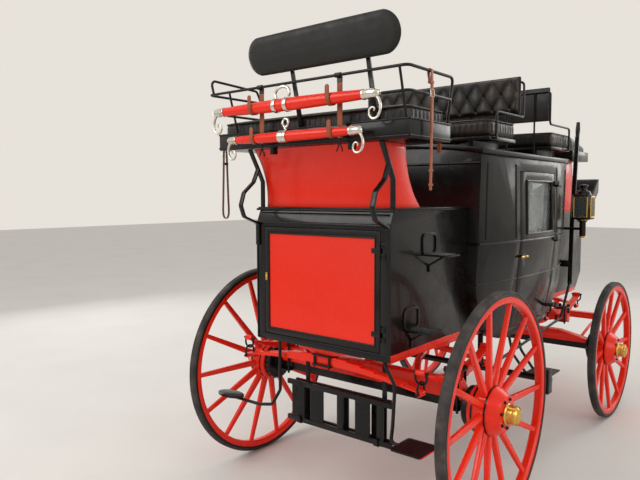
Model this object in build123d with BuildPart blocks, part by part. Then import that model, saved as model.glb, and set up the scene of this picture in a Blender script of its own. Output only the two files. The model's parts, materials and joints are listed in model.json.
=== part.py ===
from build123d import *
import math
import os

# Road coach, in millimetres. X is to the right, Y forward, Z up from the ground.
# Stations along Y are counted from the hind axle.
hind_y = -1172.0
wheelbase = 2100.0
fore_y = hind_y + wheelbase

# Wheels
hind_radius = 603.0
fore_radius = 510.0
hind_rim_x = 820.0
fore_rim_x = 800.0
hind_spokes = 14
fore_spokes = 12
tyre_depth = 24.0
tyre_width = 50.0
felloe_depth = 40.0
felloe_width = 46.0
wheel_dish = 34.0
nave_inner = 115.0
nave_outer = 45.0
nave_radius = 125.0
hub_box_radius = 38.0
hub_drum = 40.0
hub_drum_radius = 106.0
cap_reach = 62.0
cap_radius = 54.0
arm_radius = 25.0
running_clearance = 0.05
collar_gap = 2.0
collar_thickness = 14.0
axle_square = 46.0

# Springs
leaf_thickness = 7.5
leaf_width = 50.0
side_leaves = 6
cross_leaves = 6
eye_radius = 14.0
eye_bore = 7.0
pin_radius = 6.9
link_radius = 5.5
link_reach = 31.0
side_half_span = 353.0
side_camber = 62.0
cross_camber = 40.0
hind_spring_x = 585.0
fore_spring_x = 430.0
bed_height = 96.0
fore_bed_height = 78.0
bed_depth = 70.0

# Hind boot and the seat above it
boot_half = 450.0
boot_wall = 20.0
boot_depth = 790.0
boot_rear = hind_y - 411.0
boot_floor = 905.0
boot_sill_bottom = 869.0
boot_shoulder = 1535.0
boot_top = 1615.0
boot_plate = 10.0
boot_lip = 30.0
door_half = 388.0
door_bottom = 924.0
door_top = 1505.0
door_gap = 3.0
boot_door_thickness = 22.0
riser_top = 1930.0
riser_wall = 18.0
seat_half = 622.0
seat_rear = hind_y - 531.0
seat_depth = 372.0
seat_board_height = 90.0
seat_pocket = 30.0
cushion_height = 125.0
soft_clearance = 0.3
rail_radius = 7.0
post_radius = 6.0
rail_top = 2235.0
rail_mid = 2133.0
rail_lean = 52.0

# Body
body_rear = boot_rear + boot_depth
body_length = 1420.0
body_front = body_rear + body_length
body_mid = body_rear + body_length / 2
body_bottom = 790.0
body_elbow = 1400.0
body_eave = 1895.0
body_wall = 22.0
rocker_radius = 420.0
roof_rise = 66.0
roof_thickness = 26.0
roof_half = 640.0
door_width = 600.0
coach_door_bottom = 850.0
coach_door_top = 1822.0
window_width = 430.0
window_bottom = 1440.0
window_top = 1765.0
seat_gap = 0.3

# Front boot and box seat
front_boot_half = 415.0
front_boot_length = 780.0
front_boot_end = body_front + front_boot_length
front_boot_bottom = 915.0
front_boot_top = 1540.0

os.makedirs("parts", exist_ok=True)


def finish(piece, name):
    """Label one piece and write it."""
    piece.part.label = name
    export_step(piece.part, f"parts/{name}.step")


def side_plane(x):
    """Upright plane along the coach: sketch x is +Y, sketch y is +Z, facing +X."""
    return Plane.YZ.offset(x)


def cross_plane(y):
    """Upright plane across the coach: sketch x is +X, sketch y is +Z, facing -Y."""
    return Plane(origin=(0, y, 0), x_dir=(1, 0, 0), z_dir=(0, -1, 0))


def rod(points, radius, corner):
    """Round iron: straight runs joined by tangent arcs."""
    with BuildPart() as bar:
        with BuildLine() as path:
            if len(points) > 2:
                FilletPolyline(*points, radius=corner)
            else:
                Line(*points)
        with BuildSketch(path.line ^ 0):
            Circle(radius)
        sweep()
    return bar.part


def flat_bar(plane, points, thickness, width, corner):
    """Flat iron bent in one plane, its width across that plane."""
    with BuildPart() as bar:
        with BuildSketch(plane):
            with BuildLine():
                FilletPolyline(*points, radius=corner)
            trace(line_width=thickness)
        extrude(amount=width / 2, both=True)
    return bar.part


def slab(low, high):
    """Square block between two corners."""
    size = [high[i] - low[i] for i in range(3)]
    centre = [(high[i] + low[i]) / 2 for i in range(3)]
    with BuildPart() as block:
        with Locations(tuple(centre)):
            Box(*size)
    return block.part


def prism(plane, points, depth):
    """Straight-edged outline, depth deep, centred on its plane."""
    with BuildPart() as block:
        with BuildSketch(plane):
            with BuildLine():
                Polyline(*points, close=True)
            make_face()
        extrude(amount=depth / 2, both=True)
    return block.part


def turned(centre, direction, points):
    """Turned piece: points are (radius, distance along the direction)."""
    axis = Axis(centre, direction)
    across = (0, 0, 1) if abs(direction[2]) < 0.5 else (1, 0, 0)
    normal = Vector(*across).cross(Vector(*direction))
    with BuildPart() as piece:
        with BuildSketch(Plane(origin=centre, x_dir=across, z_dir=normal)):
            with BuildLine():
                Polyline(*points, close=True)
            make_face()
        revolve(axis=axis)
    return piece.part


def mirrored(part):
    """The same piece on the other side of the coach."""
    return mirror(part, about=Plane.YZ)


def both_sides(parts):
    return [piece for part in parts for piece in (part, mirrored(part))]


def joined(parts, cuts=()):
    """Pieces fused where they touch, less what they make room for."""
    with BuildPart() as whole:
        for part in parts:
            add(part)
        for cut in cuts:
            add(cut, mode=Mode.SUBTRACT)
    return whole


# Wheels: tyre, wooden felloe with spokes and nave, and the hub that runs on the axle arm
def wheel(side, name, rim_x, radius, axle_y, spokes):
    centre = Vector(side * rim_x, axle_y, radius)
    out = Vector(side, 0, 0)
    felloe_outer = radius - tyre_depth
    felloe_inner = felloe_outer - felloe_depth
    half_tyre = tyre_width / 2
    half_felloe = felloe_width / 2
    tyre = turned(centre, (side, 0, 0), [
        (felloe_outer, -half_tyre), (radius - 8, -half_tyre), (radius, -half_tyre + 9),
        (radius, half_tyre - 9), (radius - 8, half_tyre), (felloe_outer, half_tyre)])
    rim = turned(centre, (side, 0, 0), [
        (felloe_inner + 7, -half_felloe), (felloe_outer, -half_felloe),
        (felloe_outer, half_felloe), (felloe_inner + 7, half_felloe),
        (felloe_inner, half_felloe - 8), (felloe_inner, -half_felloe + 8)])
    nave = turned(centre, (side, 0, 0), [
        (hub_box_radius, -nave_inner), (nave_radius - 9, -nave_inner),
        (nave_radius, -nave_inner + 22), (nave_radius, -6), (nave_radius - 36, nave_outer),
        (hub_box_radius, nave_outer)])
    with BuildPart() as wood:
        add(rim)
        add(nave)
        for k in range(spokes):
            turn = math.radians(360 * k / spokes)
            radial = Vector(0, math.cos(turn), math.sin(turn))
            root = centre + radial * (nave_radius - 30) - out * (wheel_dish + 8)
            tip = centre + radial * (felloe_inner + 4)
            along = tip - root
            across = Vector(0, -math.sin(turn), math.cos(turn))
            with BuildSketch(Plane(origin=root, x_dir=across, z_dir=along)):
                RectangleRounded(40, 34, 12)
            extrude(amount=along.length, taper=0.9)
    drum_face = -nave_inner - hub_drum
    bore = arm_radius + running_clearance
    hub = turned(centre, (side, 0, 0), [
        (bore, drum_face), (hub_drum_radius - 8, drum_face), (hub_drum_radius, drum_face + 8),
        (hub_drum_radius, -nave_inner), (hub_box_radius, -nave_inner),
        (hub_box_radius, nave_outer), (cap_radius, nave_outer),
        (cap_radius, nave_outer + 8), (cap_radius - 6, nave_outer + 12),
        (cap_radius - 8, nave_outer + cap_reach - 14),
        (cap_radius - 22, nave_outer + cap_reach), (0, nave_outer + cap_reach),
        (0, nave_outer + cap_reach - 16), (bore, nave_outer + cap_reach - 16)])
    for piece, kind in ((joined([tyre]), "tyre"), (wood, "wheel"), (joined([hub]), "hub")):
        finish(piece, f"{kind}_{name}")


def axle(rim_x, radius, axle_y):
    """Square iron axle with collars and the round arms that the hubs run on."""
    drum_x = rim_x - nave_inner - hub_drum
    collar_x = drum_x - collar_gap
    bar_x = collar_x - collar_thickness
    arm_x = rim_x + nave_outer + cap_reach - 22
    bar = slab((-bar_x, axle_y - axle_square / 2, radius - axle_square / 2),
               (bar_x, axle_y + axle_square / 2, radius + axle_square / 2))
    ends = []
    for side in (-1, 1):
        ends.append(turned((0, axle_y, radius), (side, 0, 0), [
            (0, bar_x - 6), (22, bar_x - 6), (22, bar_x + seat_gap), (58, bar_x + seat_gap),
            (58, collar_x), (arm_radius, collar_x), (arm_radius, arm_x), (0, arm_x)]))
    return [bar, *ends], bar_x


wheel_rows = (
    # name, side, rim X, radius, axle Y, spokes
    ("hind_left", -1, hind_rim_x, hind_radius, hind_y, hind_spokes),
    ("hind_right", 1, hind_rim_x, hind_radius, hind_y, hind_spokes),
    ("fore_left", -1, fore_rim_x, fore_radius, fore_y, fore_spokes),
    ("fore_right", 1, fore_rim_x, fore_radius, fore_y, fore_spokes),
)
for wheel_name, wheel_side, wheel_x, wheel_radius, wheel_y, wheel_spokes in wheel_rows:
    wheel(wheel_side, wheel_name, wheel_x, wheel_radius, wheel_y, wheel_spokes)

# Hind axle, its wooden bed and the perch that runs forward to the fore transom
hind_axle_parts, hind_bar_x = axle(hind_rim_x, hind_radius, hind_y)
hind_axle = joined(hind_axle_parts)
finish(hind_axle, "hind_axle")

hind_bed_low = hind_radius + axle_square / 2
hind_bed_top = hind_bed_low + bed_height
with BuildPart() as hind_axle_bed:
    with BuildSketch(cross_plane(hind_y)):
        with BuildLine():
            Polyline((-hind_bar_x, hind_bed_low), (hind_bar_x, hind_bed_low),
                     (hind_bar_x, hind_bed_low + 40), (hind_spring_x + 36, hind_bed_top),
                     (-hind_spring_x - 36, hind_bed_top), (-hind_bar_x, hind_bed_low + 40),
                     close=True)
        make_face()
    extrude(amount=bed_depth / 2, both=True)
    chamfer(hind_axle_bed.edges().filter_by(Axis.X).group_by(Axis.Z)[0], length=8)
finish(hind_axle_bed, "hind_axle_bed")

# Fore carriage heights, from the axle up
fore_bed_low = fore_radius + axle_square / 2
fore_bed_top = fore_bed_low + fore_bed_height
futchell_height = 42.0
plate_thickness = 11.0
plate_gap = 0.3
lower_plate_low = fore_bed_top + futchell_height
upper_plate_low = lower_plate_low + plate_thickness + plate_gap
transom_low = upper_plate_low + plate_thickness
transom_height = 62.0
transom_top = transom_low + transom_height
transom_half = 478.0
king_pin_radius = 16.0
wheel_plate_radius = 300.0
wheel_plate_band = 46.0

perch_width = 64.0
perch_height = 84.0
perch_rear_z = hind_bed_low + 58
perch_fore_z = transom_low + 31
perch_fore_height = 60.0
bed_half = bed_depth / 2
with BuildPart() as perch:
    with BuildSketch(cross_plane(hind_y + bed_half)):
        with Locations((0, perch_rear_z)):
            RectangleRounded(perch_width, perch_height, 24)
    with BuildSketch(cross_plane(fore_y - bed_half)):
        with Locations((0, perch_fore_z)):
            RectangleRounded(perch_width, perch_fore_height, 20)
    loft(ruled=True)
perch_beam = perch.part
wing_sections = (
    # distance ahead of the bed, X, Z, width, height
    (bed_half, 330.0, perch_rear_z - 6, 46.0, 56.0),
    (360.0, 150.0, perch_rear_z - 10, 42.0, 46.0),
    (620.0, 44.0, perch_rear_z - 8, 34.0, 40.0),
)
with BuildPart() as wing:
    for ahead, wing_x, wing_z, wing_width, wing_height in wing_sections:
        with BuildSketch(cross_plane(hind_y + ahead)):
            with Locations((wing_x, wing_z)):
                RectangleRounded(wing_width, wing_height, 14)
    loft(ruled=True)


# Telegraph springs: two long springs on each axle carry a cross spring at each of their ends
def leaf_spring(plane, half_span, camber, leaves):
    """Leaves curve towards the sketch's +y; the main leaf's hollow face is at its origin."""
    curve = (half_span ** 2 + camber ** 2) / (2 * camber)
    reach = math.degrees(math.asin(half_span / curve))
    eye_u, eye_w = spring_eye(half_span, camber)
    with BuildPart() as spring:
        with BuildSketch(plane):
            for leaf in range(leaves):
                inner = curve + leaf * leaf_thickness
                half = reach * (1 - leaf / (leaves + 0.8))
                with BuildLine():
                    upper = CenterArc((0, curve), inner, 270 - half, 2 * half)
                    lower = CenterArc((0, curve), inner + leaf_thickness, 270 - half, 2 * half)
                    Line(upper @ 0, lower @ 0)
                    Line(upper @ 1, lower @ 1)
                make_face()
            with Locations((-eye_u, eye_w), (eye_u, eye_w)):
                Circle(eye_radius)
                Circle(eye_bore, mode=Mode.SUBTRACT)
        extrude(amount=leaf_width / 2, both=True)
    return spring.part


def spring_eye(half_span, camber):
    """Where the rolled eye's centre lies, along and above the spring's middle."""
    curve = (half_span ** 2 + camber ** 2) / (2 * camber)
    reach = math.asin(half_span / curve)
    eye_curve = curve + leaf_thickness - eye_radius
    return eye_curve * math.sin(reach), curve - eye_curve * math.cos(reach)


side_stack = side_leaves * leaf_thickness
cross_stack = cross_leaves * leaf_thickness
side_eye_u, side_eye_w = spring_eye(side_half_span, side_camber)
link_drop = 101.0

spring_sets = (
    # axle Y, bed top, spring X
    (hind_y, hind_bed_top, hind_spring_x),
    (fore_y, transom_top, fore_spring_x),
)
side_springs = []
cross_springs = []
cross_tops = []
links = []
for set_y, set_top, set_x in spring_sets:
    crown = set_top + side_stack
    eye_z = crown + side_eye_w
    cross_half = set_x
    lower_eye_z = eye_z - link_drop
    for side in (-1, 1):
        spring_plane = Plane(origin=(side * set_x, set_y, crown), x_dir=(0, 1, 0), z_dir=(1, 0, 0))
        side_springs.append(leaf_spring(spring_plane, side_half_span, side_camber, side_leaves))
    reach_u, reach_w = spring_eye(cross_half, cross_camber)
    cross_low = lower_eye_z + reach_w
    cross_tops.append(cross_low + cross_stack)
    for fore_aft in (-1, 1):
        cross_y = set_y + fore_aft * side_eye_u
        cross_frame = Plane(origin=(0, cross_y, cross_low), x_dir=(1, 0, 0), z_dir=(0, 1, 0))
        cross_springs.append(leaf_spring(cross_frame, cross_half, cross_camber, cross_leaves))
        for side in (-1, 1):
            upper_x = side * set_x
            lower_x = side * reach_u
            low_turn = (eye_z + lower_eye_z) / 2 - link_radius
            high_turn = low_turn + 2 * link_radius + 0.4
            links.append(rod([
                (upper_x - link_reach, cross_y, eye_z), (upper_x - link_reach, cross_y, low_turn),
                (upper_x + link_reach, cross_y, low_turn), (upper_x + link_reach, cross_y, eye_z)],
                link_radius, link_reach - 2))
            links.append(rod([(upper_x - link_reach - 9, cross_y, eye_z),
                              (upper_x + link_reach + 9, cross_y, eye_z)], pin_radius, 0))
            links.append(rod([
                (lower_x, cross_y - link_reach, lower_eye_z),
                (lower_x, cross_y - link_reach, high_turn),
                (lower_x, cross_y + link_reach, high_turn),
                (lower_x, cross_y + link_reach, lower_eye_z)], link_radius, link_reach - 2))
            links.append(rod([(lower_x, cross_y - link_reach - 9, lower_eye_z),
                              (lower_x, cross_y + link_reach + 9, lower_eye_z)], pin_radius, 0))
finish(joined(side_springs), "side_springs")
finish(joined(cross_springs), "cross_springs")
finish(joined(links), "shackles")

# Clips that hold the side springs down: plates over and under, with four bolts
clip_parts = []
for set_y, set_top, set_x, plate_low in (
        (hind_y, hind_bed_top, hind_spring_x, hind_radius - axle_square / 2 - 8),
        (fore_y, transom_top, fore_spring_x, transom_low + 4)):
    for side in (-1, 1):
        clip_x = side * set_x
        top_z = set_top + side_stack
        clip_parts.append(slab((clip_x - 42, set_y - 52, top_z), (clip_x + 42, set_y + 52, top_z + 12)))
        clip_parts.append(slab((clip_x - 42, set_y - 52, plate_low),
                               (clip_x + 42, set_y + 52, plate_low + 8)))
        for bolt_x in (-33, 33):
            for bolt_y in (-43.5, 43.5):
                clip_parts.append(turned((clip_x + bolt_x, set_y + bolt_y, 0), (0, 0, 1), [
                    (0, plate_low - 12), (7, plate_low - 12), (7, top_z + 22), (0, top_z + 22)]))

# Hollow body, drawn as plan outlines that swell to the elbow and fall in to the rocker
plan_rows = (
    # height, half width at the door, half width at the ends
    (body_bottom - 40, 510.0, 449.0),
    (1050.0, 585.0, 500.0),
    (body_elbow, 620.0, 522.0),
    (1980.0, 598.0, 535.0),
)


def coach_form(inset):
    """Outside of the body, drawn in by the inset; its top stands above the roof line."""
    rear, front = body_rear + inset, body_front - inset
    low, high = body_bottom + inset, plan_rows[-1][0] - 5
    with BuildPart() as form:
        for height, middle, end in plan_rows:
            with BuildSketch(Plane.XY.offset(height)):
                with BuildLine():
                    ThreePointArc((-end + inset, rear), (-middle + inset, body_mid), (-end + inset, front))
                    Line((-end + inset, front), (end - inset, front))
                    ThreePointArc((end - inset, front), (middle - inset, body_mid), (end - inset, rear))
                    Line((end - inset, rear), (-end + inset, rear))
                make_face()
        loft(ruled=True)
        with BuildSketch(side_plane(0)) as profile:
            with Locations((body_mid, (low + high) / 2)):
                Rectangle(front - rear, high - low)
            fillet(profile.vertices().group_by(Axis.Y)[0], radius=rocker_radius - inset)
        extrude(amount=900, both=True, mode=Mode.INTERSECT)
    return form.part


def roof_edge(x, rise):
    """Height of the roof's curve at a distance from the middle."""
    curve = (roof_half ** 2 + roof_rise ** 2) / (2 * roof_rise)
    crown = body_eave + roof_rise
    return crown - curve + math.sqrt((curve + rise) ** 2 - x ** 2)


outer_form = coach_form(0)
inner_form = coach_form(body_wall)
clear_form = coach_form(-seat_gap)
roof_reach = 760.0
with BuildPart() as above_roof:
    with BuildSketch(cross_plane(body_mid)):
        with BuildLine():
            ThreePointArc((-roof_reach, roof_edge(roof_reach, 0)), (0, roof_edge(0, 0)),
                          (roof_reach, roof_edge(roof_reach, 0)))
            Polyline((roof_reach, roof_edge(roof_reach, 0)), (roof_reach, 2200),
                     (-roof_reach, 2200), (-roof_reach, roof_edge(roof_reach, 0)))
        make_face()
    extrude(amount=body_length, both=True)
roof_air = above_roof.part

door_low_y = body_mid - door_width / 2
door_high_y = body_mid + door_width / 2
door_openings = []
for side in (-1, 1):
    near, far = sorted((side * 380, side * 760))
    door_openings.append(slab((near, door_low_y, coach_door_bottom), (far, door_high_y, coach_door_top)))
with BuildPart() as body_shell:
    add(outer_form)
    add(inner_form, mode=Mode.SUBTRACT)
    add(roof_air, mode=Mode.SUBTRACT)
    for opening in door_openings:
        add(opening, mode=Mode.SUBTRACT)
finish(body_shell, "body_shell")

# Doors cut from the same curved wall, with a drop window
hinge_x = 614.0
hinge_y = door_high_y + 1.5
hinge_radius = 8.0
hinge_pin = 4.0
hinge_heights = (930.0, 1385.0, 1755.0)
hinge_drop = 22.0
for side, door_name in ((-1, "left"), (1, "right")):
    near, far = sorted((side * 380, side * 760))
    leaf_zone = slab((near, door_low_y + door_gap, coach_door_bottom + door_gap),
                     (far, door_high_y - door_gap, coach_door_top - door_gap))
    window_zone = slab((near, body_mid - window_width / 2, window_bottom),
                       (far, body_mid + window_width / 2, window_top))
    knuckles = []
    for height in hinge_heights:
        strap_x = sorted((side * (hinge_x - 130), side * (hinge_x + 3)))
        strap = joined([slab((strap_x[0], hinge_y - 62, height - hinge_drop + 14.5),
                             (strap_x[1], hinge_y, height + 14.5))], [outer_form]).part
        knuckles.append(strap)
        knuckles.append(turned((side * hinge_x, hinge_y, 0), (0, 0, 1), [
            (0, height - hinge_drop + 14.5), (hinge_radius, height - hinge_drop + 14.5),
            (hinge_radius, height + 14.5), (0, height + 14.5)]))
    handle_x = side * 613.0
    handle = turned((handle_x, door_low_y + 42, 1300), (0, 1, 0), [
        (0, -46), (6, -46), (9, 0), (6, 46), (0, 46)])
    handle_neck = joined([turned((side * 560, door_low_y + 42, 1300), (side, 0, 0), [
        (0, 0), (9, 0), (9, 52), (0, 52)])], [outer_form]).part
    bores = [turned((side * hinge_x, hinge_y, 0), (0, 0, 1), [
        (0, hinge_heights[0] - 40), (hinge_pin + running_clearance, hinge_heights[0] - 40),
        (hinge_pin + running_clearance, hinge_heights[-1] + 40), (0, hinge_heights[-1] + 40)])]
    with BuildPart() as door:
        add(outer_form)
        add(inner_form, mode=Mode.SUBTRACT)
        add(leaf_zone, mode=Mode.INTERSECT)
        add(window_zone, mode=Mode.SUBTRACT)
    door_leaf = door.part
    with BuildPart() as door_whole:
        add(door_leaf)
        for piece in (*knuckles, handle, handle_neck):
            add(piece)
        for bore in bores:
            add(bore, mode=Mode.SUBTRACT)
    finish(door_whole, f"door_{door_name}")
    pane_x = sorted((side * 588.0, side * 592.0))
    pane = joined([slab((pane_x[0], body_mid - window_width / 2 + seat_gap, window_bottom + seat_gap),
                        (pane_x[1], body_mid + window_width / 2 - seat_gap, window_top - seat_gap))])
    finish(pane, f"door_glass_{door_name}")

# Roof, with its eaves proud of the walls
eave_reach = 14.0
roof_middle, roof_end = 600.0 + eave_reach, 534.0 + eave_reach
with BuildPart() as roof:
    with BuildSketch(cross_plane(body_mid)):
        with BuildLine():
            low_edge = ThreePointArc((-roof_half, roof_edge(roof_half, 0)), (0, roof_edge(0, 0)),
                                     (roof_half, roof_edge(roof_half, 0)))
            high_edge = ThreePointArc((-roof_half, roof_edge(roof_half, roof_thickness)),
                                      (0, roof_edge(0, roof_thickness)),
                                      (roof_half, roof_edge(roof_half, roof_thickness)))
            Line(low_edge @ 0, high_edge @ 0)
            Line(low_edge @ 1, high_edge @ 1)
        make_face()
    extrude(amount=body_length, both=True)
    with BuildSketch(Plane.XY.offset(1700)):
        with BuildLine():
            ThreePointArc((-roof_end, body_rear - eave_reach), (-roof_middle, body_mid),
                          (-roof_end, body_front + eave_reach))
            Line((-roof_end, body_front + eave_reach), (roof_end, body_front + eave_reach))
            ThreePointArc((roof_end, body_front + eave_reach), (roof_middle, body_mid),
                          (roof_end, body_rear - eave_reach))
            Line((roof_end, body_rear - eave_reach), (-roof_end, body_rear - eave_reach))
        make_face()
    extrude(amount=500, mode=Mode.INTERSECT)
finish(roof, "roof")
roof_solid = roof.part

# Inside: two benches that face each other, with cushions and padded backs
bench_depth = 400.0
bench_top = 1130.0
inside_cushion_height = 95.0
back_thickness = 62.0
bench_form = coach_form(body_wall + seat_gap)
benches = []
inside_soft = []
for bench_rear in (body_rear, body_front - bench_depth):
    bench_front = bench_rear + bench_depth
    benches.append(slab((-700, bench_rear, 700), (700, bench_front, bench_top)))
    back_y = body_rear if bench_rear == body_rear else body_front - body_wall - back_thickness
    cushion_zone = slab((-700, bench_rear, bench_top + soft_clearance),
                        (700, bench_front, bench_top + inside_cushion_height))
    back_zone = slab((-700, back_y, bench_top + inside_cushion_height + 4),
                     (700, back_y + body_wall + back_thickness, 1690))
    inside_soft.extend((cushion_zone, back_zone))
with BuildPart() as inside_benches:
    for bench in benches:
        add(bench)
    add(bench_form, mode=Mode.INTERSECT)
finish(inside_benches, "inside_benches")
with BuildPart() as inside_cushions:
    for zone in inside_soft:
        add(zone)
    add(bench_form, mode=Mode.INTERSECT)
finish(inside_cushions, "inside_cushions")

# Hind boot: hollow box with a slanted shoulder, closed by a hinged door at the back
boot_front = body_rear + 220
shoulder_plane = side_plane(0)
boot_outline = [(boot_rear, boot_floor), (boot_rear, boot_shoulder),
                (boot_rear + boot_lip, boot_top - boot_plate),
                (boot_front, boot_top - boot_plate), (boot_front, boot_floor)]
boot_block = prism(shoulder_plane, boot_outline, 2 * boot_half)
boot_cover = slab((-boot_half - 12, boot_rear + boot_lip - 8, boot_top - boot_plate),
                  (boot_half + 12, body_rear, boot_top))
boot_hollow = slab((-boot_half + boot_wall, boot_rear + boot_wall, boot_floor - 1),
                   (boot_half - boot_wall, body_rear - boot_wall, boot_top - boot_plate - boot_wall))
boot_mouth = slab((-door_half - door_gap, boot_rear - 1, boot_floor - 1),
                  (door_half + door_gap, boot_rear + boot_wall + 1, door_top + door_gap))
hind_boot = joined([boot_block, boot_cover], [boot_hollow, boot_mouth, clear_form])
finish(hind_boot, "hind_boot")

# Boot floors: the stout bottom frames that the springs' blocks are bolted to
hind_sill = prism(side_plane(0), [(boot_rear, boot_sill_bottom), (boot_rear, boot_floor),
                                  (boot_front, boot_floor), (boot_front, boot_sill_bottom - 20)],
                  2 * boot_half)
fore_sill_height = 30.0
fore_sill = prism(side_plane(0), [
    (body_front - 220, front_boot_bottom - fore_sill_height - 12),
    (body_front - 220, front_boot_bottom), (front_boot_end - 110, front_boot_bottom),
    (front_boot_end - 140, front_boot_bottom - fore_sill_height)], 2 * front_boot_half)
boot_sills = joined([hind_sill, fore_sill], [clear_form])
finish(boot_sills, "boot_sills")

# Spring blocks between the cross springs and the sills, with clip plates and bolts
clip_reach = 62.0
block_parts = []
for (set_y, set_top, set_x), cross_top in zip(spring_sets, cross_tops):
    cross_low = cross_top - cross_stack
    for fore_aft in (-1, 1):
        cross_y = set_y + fore_aft * side_eye_u
        clip_parts.append(slab((-clip_reach, cross_y - 42, cross_top),
                               (clip_reach, cross_y + 42, cross_top + 8)))
        clip_parts.append(slab((-clip_reach, cross_y - 42, cross_low - 9),
                               (clip_reach, cross_y + 42, cross_low)))
        for bolt_x in (-50, 50):
            for bolt_y in (-34, 34):
                clip_parts.append(turned((bolt_x, cross_y + bolt_y, 0), (0, 0, 1), [
                    (0, cross_low - 18), (6, cross_low - 18), (6, cross_top + 8), (0, cross_top + 8)]))
        block_top = front_boot_bottom if set_y == fore_y else boot_floor
        with BuildPart() as block:
            with BuildSketch(cross_plane(cross_y)):
                with BuildLine():
                    ThreePointArc((-clip_reach, cross_top + 8), (-128, cross_top + 22), (-250, cross_top + 56))
                    Polyline((-250, cross_top + 56), (-262, block_top), (262, block_top),
                             (250, cross_top + 56))
                    ThreePointArc((250, cross_top + 56), (128, cross_top + 22), (clip_reach, cross_top + 8))
                    Line((clip_reach, cross_top + 8), (-clip_reach, cross_top + 8))
                make_face()
            extrude(amount=27, both=True)
        block_parts.append(block.part)
side_spring_all = joined(side_springs).part
cross_spring_all = joined(cross_springs).part
spring_clips = joined(clip_parts, [side_spring_all, cross_spring_all])
finish(spring_clips, "spring_clips")
spring_blocks = joined(block_parts, [boot_sills.part])
finish(spring_blocks, "spring_blocks")

# Fore transom with the fixed wheel plate; the king pin hangs from it
with BuildPart() as fore_transom:
    with BuildSketch(cross_plane(fore_y)):
        with BuildLine():
            Polyline((-transom_half, transom_low + 12), (-370, transom_low + 12),
                     (-wheel_plate_radius - 20, transom_low), (wheel_plate_radius + 20, transom_low),
                     (370, transom_low + 12), (transom_half, transom_low + 12),
                     (transom_half, transom_top), (-transom_half, transom_top), close=True)
        make_face()
    extrude(amount=bed_depth / 2, both=True)
    with BuildSketch(Plane.XY.offset(upper_plate_low)):
        with Locations((0, fore_y)):
            Circle(wheel_plate_radius)
            Circle(wheel_plate_radius - wheel_plate_band, mode=Mode.SUBTRACT)
            Rectangle(2 * wheel_plate_radius - 20, 44)
    extrude(amount=plate_thickness)
    with BuildSketch(Plane.XY.offset(fore_bed_low + 14)):
        with Locations((0, fore_y)):
            Circle(king_pin_radius)
    extrude(amount=transom_top + 14 - fore_bed_low - 14)
finish(fore_transom, "fore_transom")
perch_whole = joined([perch_beam, *both_sides([wing.part])], [fore_transom.part])
finish(perch_whole, "perch")

# Steered carriage: axle, bed with the lower wheel plate, futchells and splinter bar
fore_axle_parts, fore_bar_x = axle(fore_rim_x, fore_radius, fore_y)
fore_axle = joined(fore_axle_parts)
finish(fore_axle, "fore_axle")
pin_bore = turned((0, fore_y, 0), (0, 0, 1), [
    (0, 300), (king_pin_radius + running_clearance, 300),
    (king_pin_radius + running_clearance, 900), (0, 900)])
with BuildPart() as fore_bed:
    with BuildSketch(cross_plane(fore_y)):
        with BuildLine():
            Polyline((-fore_bar_x, fore_bed_low), (fore_bar_x, fore_bed_low),
                     (fore_bar_x, fore_bed_low + 30), (420, fore_bed_top),
                     (-420, fore_bed_top), (-fore_bar_x, fore_bed_low + 30), close=True)
        make_face()
    extrude(amount=bed_depth / 2, both=True)
    add(pin_bore, mode=Mode.SUBTRACT)
finish(fore_bed, "fore_bed")

futchell_width = 40.0
futchell_rear = fore_y - 300
splinter_y = fore_y + 640
splinter_depth = 62.0
pole_gap = 74.0
futchell_rows = (
    # distance ahead of the axle, X
    (-300.0, 205.0), (640.0 - splinter_depth / 2, pole_gap / 2 + futchell_width / 2),
)
with BuildPart() as futchell:
    for ahead, futchell_x in futchell_rows:
        with BuildSketch(cross_plane(fore_y + ahead)):
            with Locations((futchell_x, fore_bed_top + futchell_height / 2)):
                Rectangle(futchell_width, futchell_height)
    loft(ruled=True)
with BuildPart() as lower_plate:
    with BuildSketch(Plane.XY.offset(lower_plate_low)):
        with Locations((0, fore_y)):
            Circle(wheel_plate_radius)
            Circle(wheel_plate_radius - wheel_plate_band, mode=Mode.SUBTRACT)
            Rectangle(2 * wheel_plate_radius - 20, 44)
    extrude(amount=plate_thickness)
futchells = joined([
    *both_sides([futchell.part]), lower_plate.part,
    slab((-250, futchell_rear - 20, fore_bed_top), (250, futchell_rear + 24, fore_bed_top + futchell_height)),
    slab((-128, fore_y - 30, fore_bed_top), (128, fore_y + 30, fore_bed_top + futchell_height)),
    slab((-86, fore_y + 330, fore_bed_top), (86, fore_y + 372, fore_bed_top + futchell_height - 8))],
    [pin_bore])
finish(futchells, "futchells")

splinter_half = 610.0
splinter_low = fore_bed_top - 8
roller_xs = (-560.0, -170.0, 170.0, 560.0)
roller_radius = 21.0
roller_height = 62.0
splinter_top = splinter_low + 52
rollers = []
for roller_x in roller_xs:
    rollers.append(turned((roller_x, splinter_y, splinter_top), (0, 0, 1), [
        (0, 0), (34, 0), (34, 6), (roller_radius, 10), (roller_radius, roller_height),
        (30, roller_height + 5), (30, roller_height + 13), (0, roller_height + 16)]))
pole_slot = slab((-pole_gap / 2, splinter_y - 60, splinter_low - 1), (pole_gap / 2, splinter_y + 60, splinter_top - 12))
stay_irons = []
for side in (-1, 1):
    stay_irons.append(rod([(side * 540, splinter_y - 20, splinter_low + 26),
                           (side * 560, fore_y + 300, splinter_low + 14),
                           (side * 560, fore_y + bed_half - 6, fore_bed_low + 18)], 11, 60))
splinter_bar = joined([
    slab((-splinter_half, splinter_y - splinter_depth / 2, splinter_low),
         (splinter_half, splinter_y + splinter_depth / 2, splinter_top)), *rollers, *stay_irons],
    [pole_slot, futchells.part, fore_bed.part])
finish(splinter_bar, "splinter_bar")

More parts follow.
